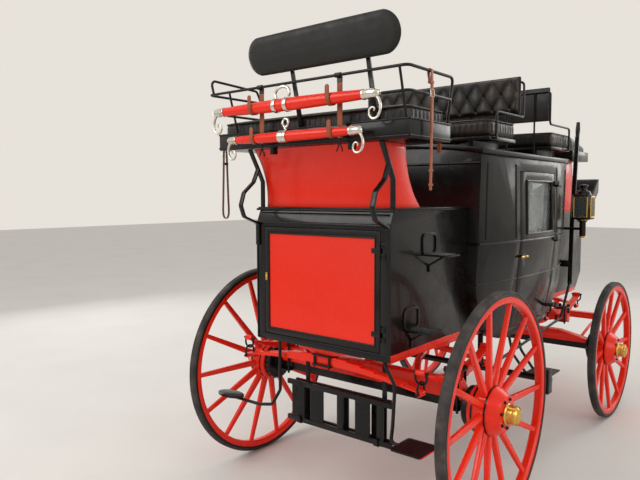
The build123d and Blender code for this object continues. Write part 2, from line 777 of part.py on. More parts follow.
# Boot door: black frame round a sunk panel, hung on two hinges at its right edge
boot_hinge_x = door_half + door_gap
boot_hinge_y = boot_rear - 6.5
boot_hinge_radius = 5.5
boot_hinge_pin = 3.0
boot_hinge_heights = (1000.0, 1410.0)
boot_knuckle = 26.0
panel_half = 359.0
panel_low, panel_high = 941.0, 1471.0
panel_sink = 5.0
door_knuckles = []
fixed_hinges = []
for height in boot_hinge_heights:
    for low, high, moves in ((-1.5 * boot_knuckle, -0.5 * boot_knuckle, False),
                             (-0.5 * boot_knuckle + 0.4, 0.5 * boot_knuckle - 0.4, True),
                             (0.5 * boot_knuckle, 1.5 * boot_knuckle, False)):
        barrel = turned((boot_hinge_x, boot_hinge_y, 0), (0, 0, 1), [
            (0, height + low), (boot_hinge_radius, height + low),
            (boot_hinge_radius, height + high), (0, height + high)])
        plate_y = (boot_rear - 3.5, boot_rear)
        if moves:
            door_knuckles.append(barrel)
            door_knuckles.append(slab((boot_hinge_x - 52, plate_y[0], height + low),
                                      (boot_hinge_x - 3, plate_y[1], height + high)))
            door_knuckles.append(slab((boot_hinge_x - 5, boot_hinge_y, height + low),
                                      (boot_hinge_x - 2, plate_y[1], height + high)))
        else:
            fixed_hinges.append(barrel)
            fixed_hinges.append(slab((boot_hinge_x + 2, boot_hinge_y, height + low),
                                     (boot_hinge_x + 5, plate_y[1], height + high)))
            fixed_hinges.append(slab((boot_hinge_x + 2, plate_y[0], height + low),
                                     (boot_hinge_x + 30, plate_y[1], height + high)))
    fixed_hinges.append(turned((boot_hinge_x, boot_hinge_y, 0), (0, 0, 1), [
        (0, height - 1.6 * boot_knuckle), (boot_hinge_pin, height - 1.6 * boot_knuckle),
        (boot_hinge_pin, height + 1.6 * boot_knuckle), (0, height + 1.6 * boot_knuckle)]))
boot_hinge_bore = turned((boot_hinge_x, boot_hinge_y, 0), (0, 0, 1), [
    (0, 900), (boot_hinge_pin + running_clearance, 900),
    (boot_hinge_pin + running_clearance, 1600), (0, 1600)])
latch = slab((-door_half + 3, boot_rear - 3, 1205), (-door_half + 22, boot_rear, 1250))
boot_door = joined([
    slab((-door_half, boot_rear, boot_floor + 4), (door_half, boot_rear + boot_door_thickness, door_top)),
    *door_knuckles, latch],
    [slab((-panel_half, boot_rear - 1, panel_low), (panel_half, boot_rear + panel_sink, panel_high)),
     boot_hinge_bore])
finish(boot_door, "boot_door")

# Fixed halves of every hinge: pins, knuckles and the irons that stand them off the curved sides
hinge_bits = list(fixed_hinges)
for side in (-1, 1):
    for height in hinge_heights:
        low = height - hinge_drop
        strap_x = sorted((side * (hinge_x - 130), side * (hinge_x + 3)))
        hinge_bits.append(joined([slab((strap_x[0], hinge_y, low), (strap_x[1], hinge_y + 62, low + 14))],
                                 [outer_form]).part)
        hinge_bits.append(turned((side * hinge_x, hinge_y, 0), (0, 0, 1), [
            (0, low), (hinge_radius, low), (hinge_radius, low + 14), (hinge_pin, low + 14),
            (hinge_pin, height + 19), (0, height + 19)]))
finish(joined(hinge_bits), "hinge_irons")

# Red risers that carry the hind seat and the box seat
riser_half = 425.0
with BuildPart() as hind_riser:
    with BuildSketch(side_plane(0)):
        with BuildLine():
            ThreePointArc((boot_rear + 58, boot_top), (boot_rear + 38, boot_top + 175), (boot_rear - 42, riser_top))
            Line((boot_rear - 42, riser_top), (boot_rear + 169, riser_top))
            ThreePointArc((boot_rear + 169, riser_top), (boot_rear + 204, boot_top + 143),
                          (boot_rear + 313, boot_top))
            Line((boot_rear + 313, boot_top), (boot_rear + 58, boot_top))
        make_face()
    extrude(amount=riser_half, both=True)
    with BuildSketch(side_plane(0)):
        with BuildLine():
            ThreePointArc((boot_rear + 58 + riser_wall, boot_top - 1), (boot_rear + 38 + riser_wall, boot_top + 175),
                          (boot_rear - 42 + riser_wall, riser_top + 1))
            Line((boot_rear - 42 + riser_wall, riser_top + 1), (boot_rear + 169 - riser_wall, riser_top + 1))
            ThreePointArc((boot_rear + 169 - riser_wall, riser_top + 1),
                          (boot_rear + 204 - riser_wall, boot_top + 143),
                          (boot_rear + 313 - riser_wall, boot_top - 1))
            Line((boot_rear + 313 - riser_wall, boot_top - 1), (boot_rear + 58 + riser_wall, boot_top - 1))
        make_face()
    extrude(amount=riser_half - riser_wall, both=True, mode=Mode.SUBTRACT)
box_rear = body_front + 250
box_front = box_rear + 380
box_seat_low = 1945.0
box_riser_half = 390.0
box_riser = prism(side_plane(0), [
    (box_rear - 10, front_boot_top), (box_rear + 30, box_seat_low), (box_front - 60, box_seat_low),
    (box_front + 20, front_boot_top)], 2 * box_riser_half)
box_hollow = prism(side_plane(0), [
    (box_rear - 10 + riser_wall, front_boot_top - 1), (box_rear + 30 + riser_wall, box_seat_low + 1),
    (box_front - 60 - riser_wall, box_seat_low + 1), (box_front + 20 - riser_wall, front_boot_top - 1)],
    2 * (box_riser_half - riser_wall))
seat_risers = joined([hind_riser.part, box_riser], [box_hollow])
finish(seat_risers, "seat_risers")

# Seats: a tray with an upstanding rim that holds each cushion
def seat_tray(half, rear, front, low, height):
    rim = 18.0
    return joined([slab((-half, rear, low), (half, front, low + height))],
                  [slab((-half + rim, rear + rim, low + seat_pocket), (half - rim, front - rim, low + height + 1))])


seat_front = seat_rear + seat_depth
seat_top = riser_top + seat_board_height
hind_seat = seat_tray(seat_half, seat_rear, seat_front, riser_top, seat_board_height)
finish(hind_seat, "hind_seat")
cushion_rim = 18.0 + 1.0
with BuildPart() as hind_cushion:
    add(slab((-seat_half + cushion_rim, seat_rear + cushion_rim, riser_top + seat_pocket + soft_clearance),
             (seat_half - cushion_rim, seat_front - cushion_rim, riser_top + seat_pocket + cushion_height)))
    fillet(hind_cushion.edges().group_by(Axis.Z)[-1], radius=14)
finish(hind_cushion, "hind_cushion")

box_half = 500.0
box_height = 74.0
box_seat_rear = box_rear - 20
box_seat_front = box_front - 10
box_seat = seat_tray(box_half, box_seat_rear, box_seat_front, box_seat_low, box_height)
finish(box_seat, "box_seat")
driver_lift = 62.0
box_low = box_seat_low + seat_pocket + soft_clearance
box_flat = prism(side_plane(-box_half / 2 + 4), [
    (box_seat_rear + cushion_rim, box_low), (box_seat_front - cushion_rim, box_low),
    (box_seat_front - cushion_rim, box_low + 96), (box_seat_rear + cushion_rim, box_low + 102)],
    box_half - 2 * cushion_rim)
box_wedge = prism(side_plane(box_half / 2 - 4), [
    (box_seat_rear + cushion_rim, box_low), (box_seat_front - cushion_rim, box_low),
    (box_seat_front - cushion_rim, box_low + 92), (box_seat_rear + cushion_rim, box_low + 100 + driver_lift)],
    box_half - 2 * cushion_rim)
finish(joined([box_flat, box_wedge]), "box_cushions")

# Iron rail round the hind seat, with the guard's extra loop on its left side
rail_rear = boot_rear - 170.0
rail_front = boot_rear + 237.0
rail_half = 643.0
post_x = seat_half - 9
mid_rail_y = seat_rear + 9 - rail_lean * (rail_mid - seat_top) / (rail_top - seat_top)
rail_parts = [
    rod([(post_x, rail_front, seat_top), (rail_half - 3, rail_front, rail_top), (rail_half, rail_rear, rail_top),
         (-rail_half, rail_rear, rail_top), (-rail_half + 3, rail_front, rail_top),
         (-post_x, rail_front, seat_top)], rail_radius, 26),
    rod([(rail_half - 14, rail_front, rail_mid), (rail_half - 12, mid_rail_y, rail_mid),
         (-rail_half + 12, mid_rail_y, rail_mid), (-rail_half + 14, rail_front, rail_mid)], rail_radius, 24),
    rod([(-rail_half, rail_rear + 34, rail_top), (-rail_half, rail_rear + 12, rail_top + 84),
         (-rail_half + 3, rail_front - 42, rail_top + 66), (-rail_half + 3, rail_front - 6, rail_top)],
        rail_radius, 24),
]
for stay_x in (-480.0, 600.0):
    rail_parts.append(rod([(stay_x, seat_rear + 9, seat_top), (stay_x, rail_rear, rail_top)], post_radius, 0))
lazyback_lean = math.atan2(rail_lean, rail_top - seat_top)
lean_s, lean_c = math.sin(lazyback_lean), math.cos(lazyback_lean)
lazyback_middle_z = 2378.0
lazyback_x = 185.0
lazyback_half = 450.0
lazyback_height = 178.0
lazyback_thickness = 42.0
lazy_stays = (-15.0, 440.0)
stay_thickness = 9.0
lean_y = seat_rear + 9 - math.tan(lazyback_lean) * (lazyback_middle_z - seat_top)
lean_plane = Plane(origin=(0, lean_y, lazyback_middle_z), x_dir=(1, 0, 0), z_dir=(0, -lean_c, -lean_s))
for stay_x in lazy_stays:
    stay_low = (seat_top - lazyback_middle_z) / lean_c
    with BuildPart() as stay:
        with BuildSketch(lean_plane):
            with BuildLine():
                Polyline((stay_x - 13, stay_low - 6), (stay_x + 13, stay_low - 6), (stay_x + 9, 60),
                         (stay_x - 9, 60), close=True)
            make_face()
        extrude(amount=stay_thickness / 2, both=True)
    rail_parts.append(joined([stay.part], [slab((-900, seat_rear - 400, 1800), (900, seat_rear + 400, seat_top))]).part)
seat_rail = joined(rail_parts, [hind_seat.part])
finish(seat_rail, "seat_rail")

with BuildPart() as lazyback:
    with BuildSketch(lean_plane.offset((stay_thickness + lazyback_thickness) / 2 + soft_clearance)):
        with Locations((lazyback_x, 0)):
            SlotOverall(2 * lazyback_half, lazyback_height)
    extrude(amount=lazyback_thickness / 2, both=True)
    fillet(lazyback.faces().sort_by(Axis.Y)[0].edges(), radius=10)
finish(lazyback, "lazyback")

# Forked irons that brace the hind seat from the boot, one at each rear corner
iron_x = 437.0
iron_width = 26.0
iron_thickness = 10.0
iron_plane = side_plane(iron_x)
rear = boot_rear
iron_leg = flat_bar(iron_plane, [
    (rear + 36, boot_top), (rear + 36, 1756), (rear - 2, 1826), (rear - 62, riser_top)],
    iron_thickness, iron_width, 24)
iron_branch = flat_bar(iron_plane, [
    (rear - 2, 1826), (rear - 38, 1752), (rear - 112, 1694), (rear - 136, 1625), (rear - 112, 1562),
    (rear - 5.3, 1522), (rear - 5.3, 1402)], iron_thickness, iron_width, 22)
seat_above = slab((-700, seat_rear - 200, riser_top), (700, seat_front, riser_top + 300))
boot_below = slab((-700, boot_rear, 900), (700, boot_rear + 400, boot_top))
seat_irons = joined(both_sides([iron_leg, iron_branch]), [seat_above, boot_below, seat_risers.part])
finish(seat_irons, "seat_irons")

# Folding steps on the boot's sides: a round-cornered back plate with a flat tread
step_rows = (
    # distance ahead of the boot's rear, tread height
    (288.0, 1376.0),
    (112.0, 1012.0),
)
step_loop_width = 150.0
step_loop_height = 118.0
step_reach = 146.0
step_parts = []
for step_y, step_z in step_rows:
    with BuildPart() as step:
        with BuildSketch(side_plane(boot_half + 3)):
            with Locations((boot_rear + step_y + step_loop_width / 2, step_z + step_loop_height / 2 - 10)):
                RectangleRounded(step_loop_width, step_loop_height, 34)
                RectangleRounded(step_loop_width - 28, step_loop_height - 28, 22, mode=Mode.SUBTRACT)
        extrude(amount=3, both=True)
        with BuildSketch(Plane.XY.offset(step_z - 8)):
            with Locations((boot_half + step_reach / 2, boot_rear + step_y + step_loop_width / 2)):
                RectangleRounded(step_reach, step_loop_width - 6, 22)
        extrude(amount=8)
    step_parts.append(step.part)
    step_parts.append(flat_bar(cross_plane(boot_rear + step_y + step_loop_width / 2), [
        (boot_half + 4, step_z - 96), (boot_half + 4, step_z - 60), (boot_half + 96, step_z - 5)], 7, 20, 14))
boot_side = slab((-boot_half, boot_rear - 50, 850), (boot_half, boot_rear + 800, 1700))
boot_steps = joined(both_sides(step_parts), [boot_side])
finish(boot_steps, "boot_steps")

# Hanging steps under the boot: round iron arms with a leaf tread on the left, a plate on the right
left_tread_x, left_tread_y, left_tread_z = -655.0, boot_rear - 28, 497.0
right_tread_x, right_tread_y, right_tread_z = 585.0, boot_rear + 5, 480.0
with BuildPart() as leaf_tread:
    with BuildSketch(Plane(origin=(left_tread_x, left_tread_y, left_tread_z), z_dir=(0, 0, 1))):
        Ellipse(96, 54)
    extrude(amount=9)
with BuildPart() as plate_tread:
    with BuildSketch(Plane(origin=(right_tread_x, right_tread_y, right_tread_z), z_dir=(0, 0, 1))):
        RectangleRounded(172, 176, 18)
    extrude(amount=9)
step_arm_y = boot_rear + 12
hanging_steps = joined([
    leaf_tread.part, plate_tread.part,
    rod([(-290, step_arm_y, boot_sill_bottom + 20), (-290, step_arm_y, 590), (-340, step_arm_y - 14, 500),
         (-430, step_arm_y - 26, 484), (left_tread_x - 30, left_tread_y, left_tread_z - 7)], 9, 30),
    rod([(392, step_arm_y, boot_sill_bottom + 20), (470, step_arm_y, 760), (462, step_arm_y - 6, 560),
         (452, step_arm_y - 6, 478), (right_tread_x + 40, right_tread_y, right_tread_z - 7)], 9, 24),
    *both_sides([
        rod([(430, body_mid + 70, body_bottom + 30), (470, body_mid + 70, 640),
             (560, body_mid + 62, 522), (690, body_mid + 60, 513)], 9, 40),
        rod([(430, body_mid - 70, body_bottom + 30), (470, body_mid - 70, 640),
             (560, body_mid - 62, 522), (690, body_mid - 60, 513)], 9, 40),
        slab((560, body_mid - 125, 520), (716, body_mid + 125, 529))])],
    [boot_sills.part, outer_form])
finish(hanging_steps, "hanging_steps")

# Ladder, folded and stowed across the coach under the boot
ladder_y = boot_rear + 92
ladder_low, ladder_high = 408.0, 640.0
ladder_left, ladder_right = -294.0, 408.0
ladder_rail = 26.0
ladder_parts = [
    slab((ladder_left, ladder_y - 16, ladder_high - ladder_rail), (ladder_right, ladder_y, ladder_high)),
    slab((ladder_left, ladder_y - 16, ladder_low), (ladder_right, ladder_y, ladder_low + ladder_rail)),
]
tread_rows = (
    # left edge, width
    (-262.0, 92.0), (-128.0, 92.0), (60.0, 40.0), (180.0, 92.0), (318.0, 40.0),
)
for tread_x, tread_width in tread_rows:
    ladder_parts.append(slab((tread_x, ladder_y - 12, ladder_low + ladder_rail - 2),
                             (tread_x + tread_width, ladder_y - 4, ladder_high - ladder_rail + 2)))
ladder_parts.append(slab((ladder_left + 30, ladder_y + 22, ladder_high - ladder_rail),
                         (ladder_right - 30, ladder_y + 38, ladder_high)))
ladder_parts.append(slab((ladder_left + 30, ladder_y + 22, ladder_low),
                         (ladder_right - 30, ladder_y + 38, ladder_low + ladder_rail)))
for tread_x in (-200.0, 40.0, 260.0):
    ladder_parts.append(slab((tread_x, ladder_y + 24, ladder_low + ladder_rail - 2),
                             (tread_x + 70, ladder_y + 32, ladder_high - ladder_rail + 2)))
for pin_x in (ladder_left + 50, ladder_right - 50):
    ladder_parts.append(slab((pin_x - 8, ladder_y - 1, ladder_high - ladder_rail + 6),
                             (pin_x + 8, ladder_y + 23, ladder_high - 6)))
for hook_x in (ladder_left + 90, ladder_right - 90):
    ladder_parts.append(flat_bar(side_plane(hook_x), [
        (ladder_y + 60, boot_sill_bottom + 20), (ladder_y + 60, ladder_low - 4),
        (ladder_y - 22, ladder_low - 4), (ladder_y - 22, ladder_low + 34)], 8, 26, 12))
ladder = joined(ladder_parts, [boot_sills.part])
finish(ladder, "ladder")

# Spare swingle bars strapped behind the seat rail
strap_y = boot_rear - 158.0
strap_thickness = 3.0
loop_thickness = 3.0
bar_rows = (
    # name, middle X, Z, half length, end radius, middle radius, cap length
    ("main", -32.0, 2127.0, 462.0, 22.0, 32.0, 84.0),
    ("side", -27.0, 1972.0, 379.0, 19.0, 26.0, 66.0),
)
strap_xs = (-246.0, 266.0)
bars = []
fittings = []
strap_parts = []
for bar_name, bar_x, bar_z, bar_half, end_radius, middle_radius, cap_length in bar_rows:
    bar_y = strap_y - strap_thickness / 2 - loop_thickness - soft_clearance - middle_radius + 2.2
    with BuildPart() as swingle:
        with BuildSketch(Plane(origin=(bar_x, bar_y, bar_z), x_dir=(1, 0, 0), z_dir=(0, -1, 0))):
            with BuildLine():
                ThreePointArc((-bar_half, end_radius), (0, middle_radius), (bar_half, end_radius))
                Polyline((bar_half, end_radius), (bar_half, 0), (-bar_half, 0), (-bar_half, end_radius))
            make_face()
        revolve(axis=Axis((bar_x, bar_y, bar_z), (1, 0, 0)))
    bars.append(swingle.part)
    curve = (bar_half ** 2 + (middle_radius - end_radius) ** 2) / (2 * (middle_radius - end_radius))
    for side in (-1, 1):
        cap_x = bar_x + side * bar_half
        fittings.append(turned((cap_x, bar_y, bar_z), (side, 0, 0), [
            (0, 0), (end_radius + 2.5, 0), (end_radius + 2.5, 9), (end_radius + 0.5, 12),
            (end_radius - 0.5, cap_length - 12), (end_radius - 8, cap_length), (0, cap_length)]))
        hook_x = cap_x + side * (cap_length - 12)
        fittings.append(rod([
            (hook_x, bar_y, bar_z - end_radius + 8), (hook_x + side * 26, bar_y, bar_z - 46),
            (hook_x + side * 22, bar_y, bar_z - 92), (hook_x - side * 10, bar_y, bar_z - 110),
            (hook_x - side * 36, bar_y, bar_z - 88), (hook_x - side * 26, bar_y, bar_z - 56)], 5.5, 15))
    band_x = bar_x - 36
    sag = curve - math.sqrt(curve ** 2 - 60 ** 2)
    for offset in (-22.0, 22.0):
        ring = turned((band_x + offset, bar_y, bar_z), (1, 0, 0), [
            (middle_radius - 3, -9), (middle_radius + 4, -9), (middle_radius + 4, 9), (middle_radius - 3, 9)])
        fittings.append(ring)
    ring_side = 1 if bar_name == "main" else -1
    ring_z = bar_z + ring_side * (middle_radius + 1)
    fittings.append(rod([
        (band_x - 22, bar_y, ring_z), (band_x - 22, bar_y, ring_z + ring_side * 46),
        (band_x + 22, bar_y, ring_z + ring_side * 46), (band_x + 22, bar_y, ring_z)], 5.5, 20))
    for strap_x in strap_xs:
        off = strap_x - bar_x
        bar_radius = middle_radius - (curve - math.sqrt(curve ** 2 - off ** 2))
        strap_parts.append(turned((strap_x, bar_y, bar_z), (1, 0, 0), [
            (bar_radius + soft_clearance + 0.4, -12), (middle_radius + loop_thickness + 1, -12),
            (middle_radius + loop_thickness + 1, 12), (bar_radius + soft_clearance + 0.4, 12)]))
all_bars = joined(bars)
finish(all_bars, "swingle_bars")
for strap_x in strap_xs:
    strap_parts.append(slab((strap_x - 15, strap_y - strap_thickness / 2, 1950),
                            (strap_x + 15, strap_y + strap_thickness / 2, rail_top - 12)))
    fittings.append(turned((strap_x, rail_rear, rail_top), (1, 0, 0), [
        (rail_radius + 0.2, -17), (rail_radius + 4, -17), (rail_radius + 4, 17), (rail_radius + 0.2, 17)]))
    fittings.append(flat_bar(side_plane(strap_x), [
        (strap_y, rail_top - 12), (strap_y, rail_top - 4), (rail_rear + 9, rail_top)], 3, 26, 2))
bar_fittings = joined(fittings, [all_bars.part, seat_rail.part])
finish(bar_fittings, "bar_fittings")
bar_straps = joined(strap_parts, [all_bars.part, seat_rail.part, bar_fittings.part, hind_seat.part])
finish(bar_straps, "bar_straps")

# Hand straps: the guard's long loop on the left, a single strap on the right
guard_x, guard_y = -seat_half - 7.3, boot_rear - 72.0
right_y = boot_rear + 20.0
rail_here = rail_half - 3 * (right_y - rail_rear) / (rail_front - rail_rear)
wrap = rail_radius + soft_clearance + 1.5
right_x = rail_here + wrap
guard_outline = [(guard_y - 8, 1950), (guard_y - 20, 1600), (guard_y - 12, 1550), (guard_y + 12, 1550),
                 (guard_y + 20, 1600), (guard_y + 8, 1950)]
hand_straps = joined([
    flat_bar(side_plane(guard_x), guard_outline, 3.5, 14, 11),
    flat_bar(side_plane(guard_x), [(guard_y - 8, 1949), (guard_y - 6, 1960), (guard_y + 6, 1960),
                                   (guard_y + 8, 1949)], 3.5, 14, 3),
    flat_bar(cross_plane(right_y), [
        (right_x, 1700), (right_x, rail_top + wrap), (rail_here - wrap, rail_top + wrap),
        (rail_here - wrap, rail_top - 22)], 3, 22, 6)],
    [seat_rail.part, hind_seat.part])
finish(hand_straps, "hand_straps")

# Seats on the roof: boards on bearers, back to back, with padded backs on iron rails
roof_seat_half = 560.0
roof_seat_depth = 370.0
roof_seat_low = 1990.0
roof_board = 20.0
roof_cushion = 98.0
bearer_parts = []
roof_soft = []
roof_pads = []
roof_rail_parts = []
pad_low, pad_high = 2178.0, 2392.0
pad_thickness = 46.0
for seat_back_y, facing in ((body_rear + 34, -1), (body_front - 34, 1)):
    edge = seat_back_y
    inner = seat_back_y - facing * roof_seat_depth
    low_y, high_y = min(edge, inner), max(edge, inner)
    bearer_parts.append(slab((-roof_seat_half, low_y, roof_seat_low), (roof_seat_half, high_y, roof_seat_low + roof_board)))
    for bearer_x in (-440.0, 0.0, 440.0):
        bearer_parts.append(slab((bearer_x - 18, low_y + 10, body_eave), (bearer_x + 18, high_y - 10, roof_seat_low)))
    with BuildPart() as roof_pad:
        add(slab((-roof_seat_half, low_y + 1, roof_seat_low + roof_board + soft_clearance),
                 (roof_seat_half, high_y - 1, roof_seat_low + roof_board + roof_cushion)))
        fillet(roof_pad.edges().group_by(Axis.Z)[-1], radius=16)
    roof_soft.append(roof_pad.part)
    pad_y = inner - facing * 24
    pad_span = sorted((pad_y, pad_y - facing * pad_thickness))
    with BuildPart() as back_pad:
        add(slab((-roof_seat_half, pad_span[0], pad_low), (roof_seat_half, pad_span[1], pad_high)))
        fillet(back_pad.edges().filter_by(Axis.Y), radius=30)
    roof_pads.append(back_pad.part)
    frame_y = pad_y - facing * (pad_thickness + rail_radius + soft_clearance)
    for post_at in (-470.0, 0.0, 470.0):
        roof_rail_parts.append(rod([(post_at, frame_y, roof_edge(post_at, roof_thickness) - 6),
                                    (post_at, frame_y, pad_high - 26)], post_radius, 0))
    roof_rail_parts.append(rod([
        (-roof_seat_half - 16, edge - facing * 60, roof_seat_low + roof_board - 4),
        (-roof_seat_half - 16, edge - facing * 60, 2150), (-roof_seat_half - 16, frame_y, 2150),
        (-roof_seat_half - 16, frame_y, pad_high - 26), (roof_seat_half + 16, frame_y, pad_high - 26),
        (roof_seat_half + 16, frame_y, 2150), (roof_seat_half + 16, edge - facing * 60, 2150),
        (roof_seat_half + 16, edge - facing * 60, roof_seat_low + roof_board - 4)], rail_radius, 24))
    for side in (-1, 1):
        outer_x = side * (roof_seat_half + 16)
        roof_rail_parts.append(slab((min(outer_x - side * 20, outer_x + side * 7), edge - facing * 60 - 7, roof_seat_low + 4),
                                    (max(outer_x - side * 20, outer_x + side * 7), edge - facing * 60 + 7,
                                     roof_seat_low + roof_board - 4)))
roof_seats = joined(bearer_parts, [roof_solid])
finish(roof_seats, "roof_seats")
roof_cushions = joined(roof_soft)
finish(roof_cushions, "roof_cushions")
roof_backs = joined(roof_pads)
finish(roof_backs, "roof_backs")
roof_rails = joined(roof_rail_parts, [roof_solid, roof_seats.part])
finish(roof_rails, "roof_rails")

# Front boot under the box seat
front_outline = [(body_front - 220, front_boot_bottom), (front_boot_end - 110, front_boot_bottom),
                 (front_boot_end, 1030), (front_boot_end + 8, front_boot_top),
                 (body_front - 220, front_boot_top)]
front_block = prism(side_plane(0), front_outline, 2 * front_boot_half)
front_hollow = slab((-front_boot_half + boot_wall, body_front + boot_wall, front_boot_bottom + boot_wall),
                    (front_boot_half - boot_wall, front_boot_end - 130, front_boot_top - boot_wall))
front_boot = joined([front_block], [front_hollow, clear_form])
finish(front_boot, "front_boot")

# Footboard, raked up and forward, on two irons
board_half = 405.0
board_low = (front_boot_end + 5, 1432.0)
board_high = (front_boot_end + 436.5, 1700.0)
rake = math.atan2(board_high[1] - board_low[1], board_high[0] - board_low[0])
board_thickness = 24.0
up_y, up_z = -math.sin(rake) * board_thickness, math.cos(rake) * board_thickness
footboard = prism(side_plane(0), [
    board_low, board_high, (board_high[0] + 6, board_high[1] + 118),
    (board_high[0] - 16, board_high[1] + 118), (board_high[0] + up_y - 12, board_high[1] + up_z + 4),
    (board_low[0], board_low[1] + board_thickness / math.cos(rake))], 2 * board_half)
footboard_sides = []
for side in (-1, 1):
    footboard_sides.append(prism(side_plane(side * (board_half + 8)), [
        (board_low[0] + 60, board_low[1] + 20), board_high, (board_high[0] + 6, board_high[1] + 118),
        (board_high[0] - 60, board_high[1] + 70), (board_low[0] + 150, board_low[1] + 130)], 16))
    footboard_sides.append(flat_bar(side_plane(side * 300), [
        (front_boot_end + 5, 1120), (front_boot_end + 30, 1150), (board_high[0] - 130, board_high[1] - 96)],
        12, 30, 40))
footboard_whole = joined([footboard, *footboard_sides], [front_boot.part])
finish(footboard_whole, "footboard")

# Carriage lamps at the front corners of the body
lamp_x, lamp_y, lamp_z = 640.0, body_front + 62, 1500.0
lamp_parts = []
for side in (-1, 1):
    with BuildPart() as lamp:
        add(slab((side * lamp_x - 66, lamp_y - 66, lamp_z), (side * lamp_x + 66, lamp_y + 66, lamp_z + 178)))
        chamfer(lamp.edges().filter_by(Axis.Z), length=16)
    lamp_parts.append(lamp.part)
    lamp_parts.append(turned((side * lamp_x, lamp_y, lamp_z + 178), (0, 0, 1), [
        (0, 0), (56, 0), (44, 26), (22, 34), (22, 58), (32, 62), (32, 72), (0, 78)]))
    lamp_parts.append(turned((side * lamp_x, lamp_y, lamp_z), (0, 0, -1), [
        (0, 0), (44, 0), (22, 24), (22, 120), (10, 136), (0, 136)]))
    stem = sorted((side * 380, side * (lamp_x - 12)))
    lamp_parts.append(slab((stem[0], lamp_y - 9, lamp_z - 80), (stem[1], lamp_y + 9, lamp_z - 62)))
lamps = joined(lamp_parts, [outer_form, front_boot.part])
finish(lamps, "lamps")

# Brake: a cross beam under the body, blocks in front of the hind tyres, lever at the box
brake_y = hind_y + hind_radius + 62
brake_rise = 10.0
brake_z = hind_radius + brake_rise
block_face = math.sqrt((hind_radius + 6) ** 2 - brake_rise ** 2)
brake_parts = [
    turned((0, brake_y, brake_z), (1, 0, 0), [(0, -hind_rim_x - 30), (19, -hind_rim_x - 30),
                                              (19, hind_rim_x + 30), (0, hind_rim_x + 30)])]
for side in (-1, 1):
    brake_parts.append(joined([slab(
        (side * hind_rim_x - 34, hind_y + block_face - 40, brake_z - 70),
        (side * hind_rim_x + 34, brake_y, brake_z + 70))], [turned((side * hind_rim_x, hind_y, hind_radius), (1, 0, 0), [
            (0, -60), (hind_radius + 6, -60), (hind_radius + 6, 60), (0, 60)])]).part)
    brake_parts.append(flat_bar(side_plane(side * 400), [
        (brake_y, brake_z), (brake_y + 20, brake_z + 80), (brake_y + 20, body_bottom + 60)], 12, 30, 20))
lever_x = box_half + 30.0
brake_parts.append(flat_bar(side_plane(lever_x), [
    (body_front + 150, 1000), (body_front + 170, 1500), (body_front + 240, 2120)], 14, 30, 200))
brake_parts.append(turned((lever_x, body_front + 240, 2110), (0, 0.11, 0.99), [
    (0, 0), (13, 0), (17, 60), (13, 120), (0, 120)]))
brake_parts.append(rod([(lever_x, body_front + 152, 1020), (lever_x, body_front - 40, 766),
                        (lever_x - 30, brake_y + 30, brake_z + 40), (lever_x - 30, brake_y - 4, brake_z)], 9, 60))
brake_parts.append(slab((front_boot_half, body_front + 148, 1130), (lever_x - 10, body_front + 176, 1180)))
brake_gear = joined(brake_parts, [outer_form])
finish(brake_gear, "brake_gear")
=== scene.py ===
"""Looks of the road coach: paint, leather, metal and the small parts that the solids leave out."""

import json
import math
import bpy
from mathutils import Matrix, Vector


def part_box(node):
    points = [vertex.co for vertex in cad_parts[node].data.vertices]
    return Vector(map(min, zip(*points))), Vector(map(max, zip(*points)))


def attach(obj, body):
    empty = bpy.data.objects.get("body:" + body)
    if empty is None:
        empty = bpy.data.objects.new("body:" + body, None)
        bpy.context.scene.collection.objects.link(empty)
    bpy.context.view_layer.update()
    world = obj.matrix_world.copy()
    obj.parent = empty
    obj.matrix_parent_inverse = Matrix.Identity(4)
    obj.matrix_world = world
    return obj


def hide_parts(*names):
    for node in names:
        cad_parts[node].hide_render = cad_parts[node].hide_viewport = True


bl_info = {
    "name": "Road coach",
    "version": (1, 0, 0),
    "blender": (4, 5, 0),
    "location": "View3D > Sidebar > Coach",
    "description": "Dresses a packed road coach in paint, leather and polished metal",
    "category": "Object",
}

import bmesh
import bpy
from mathutils import Matrix, Vector

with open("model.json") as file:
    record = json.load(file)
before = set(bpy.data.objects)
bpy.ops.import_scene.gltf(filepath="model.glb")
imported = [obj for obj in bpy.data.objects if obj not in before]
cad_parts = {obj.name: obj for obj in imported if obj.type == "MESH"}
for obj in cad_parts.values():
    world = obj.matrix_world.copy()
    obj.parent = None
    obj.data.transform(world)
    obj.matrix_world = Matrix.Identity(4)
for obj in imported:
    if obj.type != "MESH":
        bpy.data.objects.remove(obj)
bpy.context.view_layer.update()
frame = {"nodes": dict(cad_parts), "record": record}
nodes = frame["nodes"]
BODY_OF = {node: body for body, names in frame["record"]["behaviour"]["bodies"].items() for node in names}


def node_box(node):
    low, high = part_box(node)
    return Vector(low), Vector(high)


# Places that more than one piece uses, in metres
BOOT_REAR = node_box("hind_boot")[0].y
BOOT_HALF = 0.45                # half the boot's width
SHOULDER_Z = 1.535              # top of the boot's upright rear
LIP_Z = 1.602                   # ledge under the risers
WAIST_Z, BELT_Z = 1.4, 1.17     # mouldings round the body
RAIL_Z = 2.235                  # middle of the seat rail
STRAP_XS = (-0.246, 0.266)      # straps behind the spare bars
STRAP_Y = BOOT_REAR - 0.158
STRAP_FOOT_Z = 1.945

SIDES = (("left", -1), ("right", 1))
X_AXIS, Y_AXIS, Z_AXIS = Vector((1, 0, 0)), Vector((0, 1, 0)), Vector((0, 0, 1))
REARWARD = -Y_AXIS
HALF_PI = math.pi / 2


# Materials -----------------------------------------------------------------

def linear(colour):
    """A colour written in sRGB as Blender's linear values, with alpha."""
    return (*[c / 12.92 if c <= 0.04045 else ((c + 0.055) / 1.055) ** 2.4 for c in colour], 1.0)


